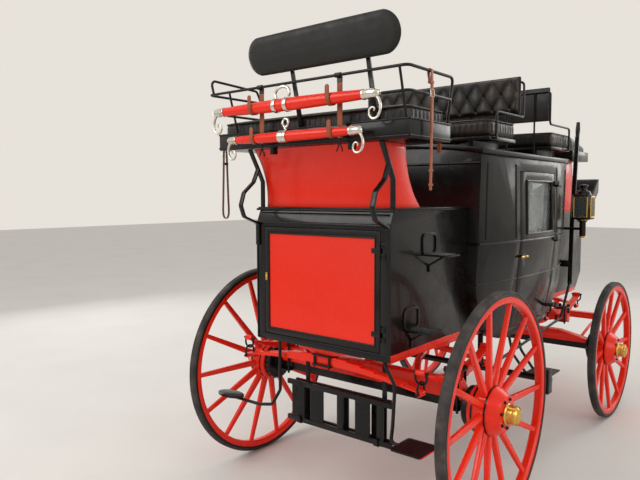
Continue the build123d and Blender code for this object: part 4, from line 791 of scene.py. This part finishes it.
def dress_wheel(name, side, spokes):
    """One wheel: its tyre's channel, nave bands, hub bolts, brass cap and felloe rivets."""
    body = "wheel_" + name
    low, high = node_box("tyre_" + name)
    centre = (low + high) / 2
    tyre_depth, bolt_circle, cap_reach = 0.024, 0.072, 0.107
    rim = (high.z - low.z) / 2 - tyre_depth
    out = X_AXIS * side
    softened("tyre_" + name, "rubber", 0.0)
    softened(body, "vermilion", settings().edge_round)
    hub = softened("hub_" + name, "black", 0.0015)
    paint_faces(hub, "brass", lambda c, n: (c.x - centre.x) * side > 0.044)
    shape = bmesh.new()
    for edge in (-1, 1):
        add_lathe(shape, centre + out * 0.0215 * edge, out * edge, (
            (rim - 0.004, 0.0), (rim + 0.007, 0.0), (rim + 0.009, 0.002), (rim + 0.007, 0.0046),
            (rim - 0.002, 0.0046), (rim - 0.004, 0.003)), 96)
    piece("tyre_channel_" + name, shape, "iron", body)
    shape = bmesh.new()
    for along in (-0.026, -0.094):
        add_lathe(shape, centre + out * along, out,
                  ((0.1243, 0.0), (0.1265, 0.0015), (0.1265, 0.0105), (0.1243, 0.012)), 64)
    piece("nave_bands_" + name, shape, "black", body)
    bolts, rivets = [], []
    for k in range(0, spokes, 2):
        turn = math.tau * (k + 0.5) / spokes
        radial = Vector((0, math.cos(turn), math.sin(turn)))
        across = Vector((0, -math.sin(turn), math.cos(turn)))
        bolts.append((centre + radial * bolt_circle + out * 0.046, out))
        rivets += [(centre + radial * (rim - 0.0395) + across * off, -radial) for off in (-0.02, 0.02)]
    fasteners("hub_bolts_" + name, "hub bolt", bolts, "black", body)
    shape = bmesh.new()
    cap = centre + out * cap_reach
    add_lathe(shape, cap, out, ((0.0, 0.0), (0.03, 0.0), (0.03, 0.001), (0.024, 0.0035), (0.012, 0.005),
                                (0.0, 0.0055)), 40)
    for ring in (-0.012, -0.03):
        add_lathe(shape, cap + out * ring, out,
                  ((0.044, 0.0), (0.0485, 0.001), (0.0485, 0.004), (0.044, 0.005)), 48)
    piece("cap_rings_" + name, shape, "brass", body)
    fasteners("felloe_rivets_" + name, "rivet", rivets, "vermilion", body)


class COACH_OT_wheels(bpy.types.Operator):
    """Four wheels with rounded spokes, tyre channels, hub bolts and brass caps"""
    bl_idname = "coach.wheels"
    bl_label = "Wheels"

    def execute(self, context):
        for end, spokes in (("hind", 14), ("fore", 12)):
            for side_name, side in SIDES:
                dress_wheel(f"{end}_{side_name}", side, spokes)
        return {"FINISHED"}


class COACH_OT_running_gear(bpy.types.Operator):
    """Axles, beds, perch, springs and their irons, with nuts on every clip bolt"""
    bl_idname = "coach.running_gear"
    bl_label = "Running gear"

    def execute(self, context):
        for node in ("hind_axle_bed", "perch", "fore_transom", "fore_bed", "futchells", "splinter_bar",
                     "spring_blocks"):
            softened(node, "vermilion", settings().edge_round)
        sills = softened("boot_sills", "vermilion", settings().edge_round)
        paint_faces(sills, "black", lambda c, n: n.z > 0.5 or (abs(n.x) < 0.7 and c.y < BOOT_REAR + 0.03))
        for node in ("side_springs", "cross_springs"):
            softened(node, "vermilion", 0.0006, angle=50.0)
        for node in ("hind_axle", "fore_axle", "shackles", "spring_clips", "brake_gear"):
            softened(node, "iron", 0.0012)
        clips = []
        spring_and_plate = 0.057
        for node, spring_x, seat in (("hind_axle_bed", 0.585, None), ("fore_transom", 0.43, 0.7373)):
            low, high = node_box(node)
            mid_y = (low.y + high.y) / 2
            top = (seat or high.z) + spring_and_plate
            clips += [((side * spring_x + x, mid_y + y, top), Z_AXIS)
                      for side in (-1, 1) for x in (-0.033, 0.033) for y in (-0.0435, 0.0435)]
        fasteners("axle_clip_nuts", "clip nut", clips, "iron")
        return {"FINISHED"}


class COACH_OT_hind_boot(bpy.types.Operator):
    """Hind boot, its door with mouldings, latch and a panel bead that also paints the panel's shadow border,
    and the lip under the seat risers
    """
    bl_idname = "coach.hind_boot"
    bl_label = "Hind boot"

    def execute(self, context):
        face = BOOT_REAR
        softened("hind_boot", "black", settings().edge_round)
        door = softened("boot_door", "black", 0.0012)
        paint_faces(door, "vermilion", lambda c, n: n.y < -0.9 and face + 0.003 < c.y < face + 0.008)
        # Black bead round the sunk red panel: a moulding that also paints the thin dark shadow border round
        # the panel.
        shape = bmesh.new()
        panel = rect(-0.359, 0.359, 0.941, 1.471)
        add_frame(shape, [(x, face + 0.001, z) for x, z in panel], 0.0042, 10)
        piece("door_panel_bead_and_shade", shape, "black", "boot_door")
        shape = bmesh.new()
        add_box(shape, (-0.383, face - 0.0052, 1.206), (-0.3665, face - 0.0028, 1.249), 0.0008)
        add_lathe(shape, (-0.3747, face - 0.0045, 1.2275), REARWARD,
                  ((0.0, 0.0), (0.0055, 0.0), (0.0055, 0.002), (0.003, 0.0035), (0.0, 0.004)), 20)
        piece("boot_latch", shape, "brass", "boot_door")
        shape = bmesh.new()
        x = BOOT_HALF
        add_tube(shape, [(side * x, face - 0.001, SHOULDER_Z - 0.004) for side in (-1, 1)], 0.0075, 12)
        for side in (-1, 1):
            add_tube(shape, [(side * (x - 0.003), face - 0.0005, z) for z in (0.874, SHOULDER_Z)], 0.0045, 10)
            add_tube(shape, [(side * (x + 0.0005), face + y, LIP_Z) for y in (0.003, 0.775)], 0.006, 10)
        add_tube(shape, [(side * (x + 0.01), face + 0.0235, LIP_Z) for side in (-1, 1)], 0.006, 10)
        piece("boot_mouldings", shape, "black")
        hinge_x = 0.391
        screws = [((hinge_x + dx, face - 0.0035, z + dz), REARWARD)
                  for z in (1.0, 1.41) for dx in (0.012, 0.024) for dz in (-0.026, 0.026)]
        fasteners("boot_hinge_screws", "hinge screw", screws, "iron")
        softened("hinge_irons", "iron", 0.0008)
        return {"FINISHED"}


class COACH_OT_hind_seat(bpy.types.Operator):
    """Risers, seat board, pleated cushion, iron rail and the forked irons"""
    bl_idname = "coach.hind_seat"
    bl_label = "Hind seat"

    def execute(self, context):
        softened("seat_risers", "vermilion", settings().edge_round)
        softened("hind_seat", "black", settings().edge_round)
        for node in ("seat_rail", "seat_irons", "roof_rails"):
            softened(node, "iron", 0.0006, angle=50.0)
        low, high = node_box("hind_cushion")
        pad("seat_cushion", low, high, "hind_cushion", 0.012, 0.026, (128, 34, 9), pleats(0.034, 0.0026))
        cushion_piping("seat_cushion_piping", low, high, high.z - 0.012)
        shape = bmesh.new()
        low, high = node_box("hind_seat")
        for z in (low.z + 0.012, high.z - 0.004):
            add_frame(shape, [(x, y, z) for x, y in rect(low.x, high.x, low.y, high.y)], 0.005, 10)
        piece("seat_board_beads", shape, "black")
        bolts = [((side * 0.437, BOOT_REAR - 0.0103, z), REARWARD) for side in (-1, 1) for z in (1.42, 1.5)]
        fasteners("seat_iron_bolts", "seat bolt", bolts, "iron")
        return {"FINISHED"}


class COACH_OT_lazyback(bpy.types.Operator):
    """Smooth padded back on its two stays, with piping round its edge"""
    bl_idname = "coach.lazyback"
    bl_label = "Lazyback"

    def execute(self, context):
        low, high = node_box("lazyback")
        centre = (low + high) / 2
        lean = math.atan2(0.052, 0.215)
        half_thick, half_high = 0.021, 0.089
        straight = (high.x - low.x) / 2 - half_high
        upward = Vector((0, -math.sin(lean), math.cos(lean)))
        outward = Vector((0, -math.cos(lean), -math.sin(lean)))
        rows, turns = 14, 120

        def outline(inset):
            """Points round the pad, drawn in from its edge."""
            size = half_high - inset
            return [centre + X_AXIS * (math.copysign(straight, c) * min(1.0, abs(c) * 6) + size * c)
                    + upward * size * s for c, s in circle(turns)]

        shape = bmesh.new()
        rings = []
        for face in (1, -1):
            for row in range(rows)[::face]:
                inset = half_high * 0.985 * (1 - row / (rows - 1))
                edge = min(inset / 0.028, 1.0)
                dome = 0.72 + 0.28 * min(inset / 0.07, 1.0)
                depth = max(dome * half_thick * math.sqrt(1 - (1 - edge) ** 2), 0.004)
                rings.append([shape.verts.new(point + outward * depth * face) for point in outline(inset)])
        skin_rings(shape, rings, capped=False)
        for ring in (rings[0], rings[-1]):
            middle = shape.verts.new(sum((v.co for v in ring), Vector()) / turns)
            for a, b in sides_of(ring):
                shape.faces.new((a, b, middle))
        piece("lazyback_pad", shape, "pad_leather", angle=70.0, node="lazyback")
        closed_piping("lazyback_piping", outline(-0.0005), 0.0042)
        return {"FINISHED"}


class COACH_OT_tufted_backs(bpy.types.Operator):
    """Buttoned diamond-tufted backs of the roof seats"""
    bl_idname = "coach.tufted_backs"
    bl_label = "Tufted backs"

    def execute(self, context):
        low, high = node_box("roof_backs")
        depth = 0.046
        tufted_back("rear_tufted_back", low, Vector((high.x, low.y + depth, high.z)), -1)
        tufted_back("front_tufted_back", Vector((low.x, high.y - depth, low.z)), high, 1)
        return {"FINISHED"}


class COACH_OT_cushions(bpy.types.Operator):
    """Cushions of the box, the roof seats and the inside, with piping"""
    bl_idname = "coach.cushions"
    bl_label = "Other cushions"

    def execute(self, context):
        pleated = pleats(0.036, 0.0024)
        low, high = node_box("roof_cushions")
        depth = 0.368
        for name, rear in (("rear_roof_cushion", low.y), ("front_roof_cushion", high.y - depth)):
            a, b = Vector((low.x, rear, low.z)), Vector((high.x, rear + depth, high.z))
            pad(name, a, b, "roof_cushions", 0.012, 0.026, (124, 36, 8), pleated)
            cushion_piping(name + "_piping", a, b, b.z - 0.008)
        low, high = node_box("box_cushions")
        half_gap = 0.004
        for name, x0, x1, rear_high, front_high in (
                ("box_cushion_left", low.x, -half_gap, 0.102, 0.096),
                ("box_cushion_driver", half_gap, high.x, 0.162, 0.092)):
            slope = (rear_high - front_high) / (high.y - low.y)

            def tilted(u, point, slope=slope):
                return pleated(u, point) - Z_AXIS * slope * point.y * (u.z + 1) / 2

            top = low.z + (rear_high + front_high) / 2
            pad(name, Vector((x0, low.y, low.z)), Vector((x1, high.y, top)), "box_cushions", 0.01, 0.024,
                (52, 34, 8), tilted)
        softened("inside_cushions", "seat_leather", 0.014, "inside_padding")
        return {"FINISHED"}


class COACH_OT_body(bpy.types.Operator):
    """Body, doors, roof, lamps and seats in black with mouldings, handles and window frames"""
    bl_idname = "coach.body"
    bl_label = "Body and front"

    def execute(self, context):
        for node in ("body_shell", "door_left", "door_right", "roof", "box_seat", "roof_seats", "footboard",
                     "lamps", "front_boot"):
            softened(node, "black", settings().edge_round)
        softened("inside_benches", "wood", 0.002)
        for node in ("door_glass_left", "door_glass_right"):
            softened(node, "glass", 0.0004)
        low, high = node_box("body_shell")
        middle, half = (low.y + high.y) / 2, (high.y - low.y) / 2
        # Heights of the body's sections, with half widths at its middle and at its ends
        sections = ((0.75, 0.51, 0.449), (1.05, 0.585, 0.5), (1.4, 0.62, 0.522), (1.98, 0.598, 0.535))

        def on_wall(side, y, z, proud=0.0):
            """Point on the outside of the body; y runs from its middle."""
            below, above = next(pair for pair in zip(sections, sections[1:]) if z <= pair[1][0])
            widths = []
            for _, mid, end in (below, above):
                sag = mid - end
                curve = (half ** 2 + sag ** 2) / (2 * sag)
                widths.append(mid - curve + math.sqrt(curve ** 2 - y ** 2))
            share = (z - below[0]) / (above[0] - below[0])
            return side * (widths[0] + (widths[1] - widths[0]) * share + proud), middle + y, z

        def along_wall(side, a, b, steps, proud=0.0):
            """Points on the outside of the body from one (y, z) to another."""
            return [on_wall(side, *[p + (q - p) * k / steps for p, q in zip(a, b)], proud)
                    for k in range(steps + 1)]

        shape = bmesh.new()
        doorway = 0.3
        for side in (-1, 1):
            for z, radius in ((WAIST_Z, 0.008), (BELT_Z, 0.005)):
                for y0, y1 in ((0.002 - half, -doorway - 0.004), (doorway + 0.004, half - 0.002)):
                    add_tube(shape, along_wall(side, (y0, z), (y1, z), 10), radius)
            for y in (0.06 - half, -doorway - 0.05, doorway + 0.05, half - 0.06):
                add_tube(shape, [on_wall(side, y, z) for z in (1.42, 1.5, 1.6, 1.7, 1.8, 1.86)], 0.005)
        for y in (low.y, high.y):
            for z in (WAIST_Z, 1.86):
                reach = on_wall(1, half, z)[0] - 0.004
                add_tube(shape, ((-reach, y, z), (reach, y, z)), 0.008)
        piece("body_mouldings", shape, "black")
        for side_name, side in SIDES:
            door = "door_" + side_name
            shape = bmesh.new()
            for a, b in sides_of(rect(-0.215, 0.215, 1.44, 1.765)):
                add_tube(shape, along_wall(side, a, b, 8, 0.001), 0.0075)
            for z, radius in ((WAIST_Z, 0.007), (BELT_Z, 0.005)):
                add_tube(shape, along_wall(side, (-0.292, z), (0.292, z), 10), radius)
            piece("door_mouldings_" + side_name, shape, "black", door)
            shape = bmesh.new()
            add_lathe(shape, (side * 0.613, middle - 0.258, 1.3), Y_AXIS, mirrored((
                (0.0105, 0.0), (0.0072, 0.006), (0.0088, 0.03), (0.0072, 0.048), (0.0, 0.05))), 20)
            piece("door_handle_" + side_name, shape, "brass", door)
        lamp_high = node_box("lamps")[1]
        reach = 0.066
        for side_name, side in SIDES:
            x, y = side * (lamp_high.x - reach), lamp_high.y - reach
            shape, glass = bmesh.new(), bmesh.new()
            for out in (X_AXIS, -X_AXIS, Y_AXIS, -Y_AXIS):
                face = Vector((x, y, 0)) + out * reach
                wide = out.yxz
                add_frame(shape, [face + wide * a + Z_AXIS * z for a, z in rect(-0.046, 0.046, 1.516, 1.662)],
                          0.0042)
                ends = [face + out * o + wide * a + Z_AXIS * z
                        for o, a, z in ((-0.001, -0.043, 1.519), (0.0015, 0.043, 1.659))]
                add_box(glass, [min(pair) for pair in zip(*ends)], [max(pair) for pair in zip(*ends)], 0.0007)
            for z, radius in ((1.681, 0.05), (1.742, 0.026), (1.497, 0.045), (1.372, 0.024)):
                add_lathe(shape, (x, y, z), Z_AXIS, mirrored((
                    (radius + 0.003, 0.0), (radius, 0.004), (radius - 0.006, 0.004))))
            piece("lamp_rims_" + side_name, shape, "brass")
            piece("lamp_glass_" + side_name, glass, "lamp_glass")
        return {"FINISHED"}


class COACH_OT_spare_bars(bpy.types.Operator):
    """Spare main bar and side bar with ferrules, curled hooks, rings and tan straps"""
    bl_idname = "coach.spare_bars"
    bl_label = "Spare bars"

    # (X, Z) paths: an end hook from its neck, the main bar's ring and the side bar's open loop
    HOOK = ((0, 0), (0.014, -0.016), (0.026, -0.05), (0.024, -0.088), (0.002, -0.122), (-0.034, -0.126),
            (-0.055, -0.1), (-0.05, -0.07), (-0.028, -0.06), (-0.016, -0.072), (-0.02, -0.083))
    RING = ((-0.038, -0.004), (-0.042, 0.01), (-0.048, 0.026), (-0.036, 0.048), (0.0, 0.058),
            (0.036, 0.048), (0.048, 0.026), (0.042, 0.01), (0.038, -0.004))
    LOOP = ((0.0, -0.004), (-0.002, 0.012), (-0.011, 0.022), (-0.019, 0.036), (-0.016, 0.052), (-0.002, 0.06),
            (0.013, 0.054), (0.018, 0.04), (0.012, 0.026), (0.002, 0.018), (-0.004, 0.008))

    def execute(self, context):
        softened("swingle_bars", "vermilion", 0.0008, angle=50.0)
        steel, straps, iron = bmesh.new(), bmesh.new(), bmesh.new()
        screws = []
        for name, mid_x, z, half, end, thick, cap, hook_size in (
                # middle X, height, half length, end radius, middle radius, cap length, hook size
                ("main", -0.032, 2.127, 0.462, 0.022, 0.032, 0.084, 0.74),
                ("side", -0.027, 1.972, 0.379, 0.019, 0.026, 0.066, 0.68)):
            y = STRAP_Y - 0.0026 - thick
            curve = (half ** 2 + (thick - end) ** 2) / (2 * (thick - end))

            def radius_at(x, mid_x=mid_x, thick=thick, curve=curve):
                return thick - (curve - math.sqrt(curve ** 2 - (x - mid_x) ** 2))

            for side in (-1, 1):
                root = Vector((mid_x + side * half, y, z))
                add_lathe(steel, root, X_AXIS * side, (
                    (end - 0.001, -0.004), (end + 0.003, -0.004), (end + 0.0036, 0.0), (end + 0.003, 0.006),
                    (end + 0.0014, 0.008), (end + 0.0008, cap * 0.6), (end - 0.001, cap * 0.82),
                    (end - 0.006, cap * 0.95), (end - 0.013, cap), (0.0, cap + 0.001)), 36)
                for turn in (-0.6, -1.7, -2.8):
                    way = Vector((0, math.sin(turn), math.cos(turn)))
                    screws.append((root + X_AXIS * side * 0.02 + way * (end + 0.0012), way))
                neck = root + Vector((side * (cap - 0.016), 0, 0.006 - end))
                path = smooth_path([neck + Vector((side * dx, 0, dz)) * hook_size for dx, dz in self.HOOK], 6)
                taper = [1.05 - 0.62 * k / (len(path) - 1) for k in range(len(path))]
                add_tube(steel, path, 0.0078, 12, taper)
                add_lathe(steel, neck + Z_AXIS * 0.002, -Z_AXIS,
                          ((0.0, 0.0), (0.009, 0.0), (0.0095, 0.004), (0.006, 0.008), (0.0, 0.0085)), 20)
            band_x, top = mid_x - 0.036, z + thick
            if name == "main":
                bands, screw_offs, half_wide, waist = (-0.038, 0.038), (0.0,), 0.011, (0.0042, 0.0)
                ring = [(band_x + dx, y, top + dz) for dx, dz in self.RING]
            else:
                bands, screw_offs, half_wide, waist = (0.0,), (-0.015, 0.015), 0.026, (0.004, 0.012)
                ring = [(band_x + 0.012 + dx, y - 0.002 * (k % 2), top + dz)
                        for k, (dx, dz) in enumerate(self.LOOP)]
            for x in (band_x + off for off in bands):
                size = radius_at(x)
                add_lathe(steel, (x, y, z), X_AXIS, mirrored((
                    (size + waist[0], waist[1]), (size + 0.0052, half_wide - 0.003),
                    (size + 0.0045, half_wide), (size - 0.002, half_wide))), 40)
                screws += [((x + off, y - size - waist[0], z), REARWARD) for off in screw_offs]
            add_tube(steel, smooth_path(ring, 6), 0.008 if name == "main" else 0.0066, 12)
            for x in STRAP_XS:
                strap_loop(straps, x - 0.024, y, z, max(radius_at(x), radius_at(x - 0.034)) + 0.0012)
        seat_low = node_box("hind_seat")[0]
        for x in STRAP_XS:
            strap_run(straps, [(x, STRAP_Y, z) for z in (STRAP_FOOT_Z, 2.0, 2.12, 2.2, RAIL_Z - 0.012)],
                      0.0155, 0.0018)
            add_lathe(steel, (x, STRAP_Y - 0.003, STRAP_FOOT_Z + 0.007), REARWARD,
                      ((0.0, 0.0), (0.004, 0.0), (0.004, 0.001), (0.0025, 0.002), (0.0, 0.0022)), 16)
            add_lathe(iron, (x, BOOT_REAR - 0.17, RAIL_Z), X_AXIS,
                      mirrored(((0.0115, 0.014), (0.0108, 0.017), (0.0068, 0.017))), 28)
            add_box(iron, (x - 0.015, STRAP_Y - 0.004, RAIL_Z - 0.032),
                    (x + 0.015, STRAP_Y + 0.004, RAIL_Z - 0.004), 0.0012)
            foot = Vector((x, STRAP_Y - 0.001, STRAP_FOOT_Z))
            add_tube(iron, (foot, foot - Z_AXIS * 0.014), 0.006, 12)
            for side in (-1, 1):
                fork = ((0, 0, -0.012), (side * 0.005, 0, -0.03), (side * 0.014, 0, -0.05),
                        (side * 0.017, -0.003, -0.062))
                add_tube(iron, smooth_path([foot + Vector(p) for p in fork], 5), 0.0036, 10)
            add_box(iron, (x + 0.012, seat_low.y + 0.006, seat_low.z - 0.036),
                    (x + 0.042, seat_low.y + 0.036, seat_low.z + 0.001), 0.002)
        piece("bar_strap_leather", straps, "tan_leather", angle=50.0, node="bar_straps")
        piece("bar_hooks_and_ferrules", steel, "steel", angle=50.0, node="bar_fittings")
        fasteners("ferrule_screws", "ferrule screw", screws, "steel")
        piece("strap_brackets", iron, "iron", angle=50.0)
        return {"FINISHED"}


class COACH_OT_hand_straps(bpy.types.Operator):
    """The guard's long loop on the left and the single strap on the right rail"""
    bl_idname = "coach.hand_straps"
    bl_label = "Hand straps"

    def execute(self, context):
        buckles = bmesh.new()
        shape = bmesh.new()
        x, y = -0.6293, BOOT_REAR - 0.072
        half_loop = ((0.0, 1.956), (0.008, 1.95), (0.011, 1.9), (0.015, 1.78), (0.019, 1.66), (0.0215, 1.6),
                     (0.019, 1.568), (0.01, 1.552))
        loop = [*[(-dy, z) for dy, z in half_loop], (0.0, 1.548), *half_loop[::-1]]
        strap_run(shape, smooth_path([(x, y + dy, z) for dy, z in loop], 5), 0.007, 0.0018)
        strap_run(shape, [(x + 0.001, y - 0.013, 1.86), (x + 0.001, y + 0.013, 1.858)], 0.0095, 0.006)
        add_buckle(buckles, (x - 0.0085, y, 1.9), Y_AXIS, 0.014, 0.026, 0.0018)
        piece("guard_strap", shape, "dark_leather", angle=50.0, node="hand_straps")
        shape = bmesh.new()
        y = BOOT_REAR + 0.02
        rail_x, wrap = 0.6416, 0.0088
        x = rail_x + wrap
        points = [(x - 0.003, y + 0.002, 1.7), (x - 0.001, y + 0.001, 1.8),
                  *[(x, y, z) for z in (1.95, 2.1, 2.19, RAIL_Z)]]
        points += [(rail_x + wrap * math.cos(turn), y, RAIL_Z + wrap * math.sin(turn))
                   for turn in (math.pi * k / 8 for k in range(1, 9))]
        points += [(rail_x - wrap, y, RAIL_Z - 0.012), (rail_x - wrap + 0.006, y, RAIL_Z - 0.045)]
        for run, half_width, half_thick in (
                (points, 0.011, 0.0016),
                ([(x - 0.013, y, 2.184), (x + 0.004, y, 2.184)], 0.0135, 0.006),
                ([(x + 0.0028, y - 0.001, 1.96), (x + 0.003, y - 0.001, 2.1), (x + 0.0026, y, 2.176)],
                 0.0105, 0.0014),
                *[([(x - 0.0065, y + 0.001, z), (x + 0.004, y + 0.001, z)], 0.0125, 0.005)
                  for z in (1.79, 1.725)]):
            strap_run(shape, run, half_width, half_thick, Y_AXIS)
        add_buckle(buckles, (x + 0.0042, y, 2.118), Y_AXIS, 0.016, 0.032, 0.002)
        piece("rail_strap", shape, "tan_leather", angle=50.0)
        shape = bmesh.new()
        x, y = 0.56, node_box("hind_seat")[1].y + 0.0022
        strap_run(shape, [(x, y, 2.0), (x, y, 1.95), (x, y + 0.001, 1.9), (x, y + 0.002, 1.886)],
                  0.0105, 0.002)
        strap_run(shape, [(x, y, 1.945), (x, y, 1.953)], 0.0128, 0.0036)
        add_buckle(buckles, (x, y + 0.003, 1.957), X_AXIS, 0.014, 0.018, 0.0018)
        piece("seat_strap_tab", shape, "tan_leather", angle=50.0)
        piece("strap_buckles", buckles, "steel", angle=50.0)
        return {"FINISHED"}


class COACH_OT_steps(bpy.types.Operator):
    """Folding steps, hanging steps and the stowed ladder with raised tread patterns"""
    bl_idname = "coach.steps"
    bl_label = "Steps and ladder"

    def execute(self, context):
        for node in ("boot_steps", "ladder"):
            softened(node, "iron", 0.001, angle=40.0)
        hung = softened("hanging_steps", "iron", 0.001, angle=40.0)
        paint_faces(hung, "gloss_black", lambda c, n: c.x < -0.59 and c.y < BOOT_REAR + 0.01)
        ribs = bmesh.new()
        ladder_y = BOOT_REAR + 0.0798
        for x in (-0.256, -0.122, 0.186):
            lozenges(ribs, (x, ladder_y, 0.444), Z_AXIS, 0.08, 0.16, 0.0145, 0.0022, REARWARD)
        lozenges(ribs, (0.507, BOOT_REAR - 0.075, 0.489), Y_AXIS, 0.156, 0.16, 0.019, 0.003, Z_AXIS)
        for side in (-1, 1):
            for rear, z in ((BOOT_REAR + 0.306, 1.3764), (BOOT_REAR + 0.13, 1.0124)):
                for k in range(6):
                    x = side * (BOOT_HALF + 0.03 + 0.018 * k)
                    add_tube(ribs, ((x, rear, z), (x, rear + 0.114, z)), 0.0024)
            door_y = BOOT_REAR + 1.5
            for k in range(8):
                x = side * (0.58 + 0.018 * k)
                add_tube(ribs, ((x, door_y - 0.11, 0.5295), (x, door_y + 0.11, 0.5295)), 0.0026)
        piece("tread_patterns", ribs, "iron", angle=50.0)
        # Vermilion strip along the right step's outer edge: a painted red reflection of the wheel on that
        # edge.
        reflection_strip = bmesh.new()
        x, z = 0.6715, 0.4845
        add_tube(reflection_strip, ((x, BOOT_REAR - 0.0835, z), (x, BOOT_REAR + 0.0935, z)), 0.0028)
        piece("right_step_painted_reflection", reflection_strip, "vermilion", angle=50.0)
        return {"FINISHED"}


CLASSES = (
    CoachSettings, COACH_OT_stage, COACH_OT_wheels, COACH_OT_running_gear, COACH_OT_hind_boot,
    COACH_OT_hind_seat, COACH_OT_lazyback, COACH_OT_tufted_backs, COACH_OT_cushions, COACH_OT_body,
    COACH_OT_spare_bars, COACH_OT_hand_straps, COACH_OT_steps,
)
STEPS = [kind for kind in CLASSES if issubclass(kind, bpy.types.Operator)]


class COACH_PT_panel(bpy.types.Panel):
    """Lists the settings and the pieces of the coach"""
    bl_label = "Road coach"
    bl_idname = "COACH_PT_panel"
    bl_space_type = "VIEW_3D"
    bl_region_type = "UI"
    bl_category = "Coach"

    def draw(self, context):
        column = self.layout.column()
        for name in CoachSettings.__annotations__:
            column.prop(settings(), name)
        for kind in STEPS:
            column.operator(kind.bl_idname)


def register():
    for kind in (*CLASSES, COACH_PT_panel):
        bpy.utils.register_class(kind)
    bpy.types.Scene.coach_settings = bpy.props.PointerProperty(type=CoachSettings)


def unregister():
    del bpy.types.Scene.coach_settings
    for kind in reversed((*CLASSES, COACH_PT_panel)):
        bpy.utils.unregister_class(kind)


def main():
    register()
    make_finishes(settings())
    for kind in STEPS:
        group, operator = kind.bl_idname.split(".")
        getattr(getattr(bpy.ops, group), operator)()


if __name__ == "__main__":
    main()
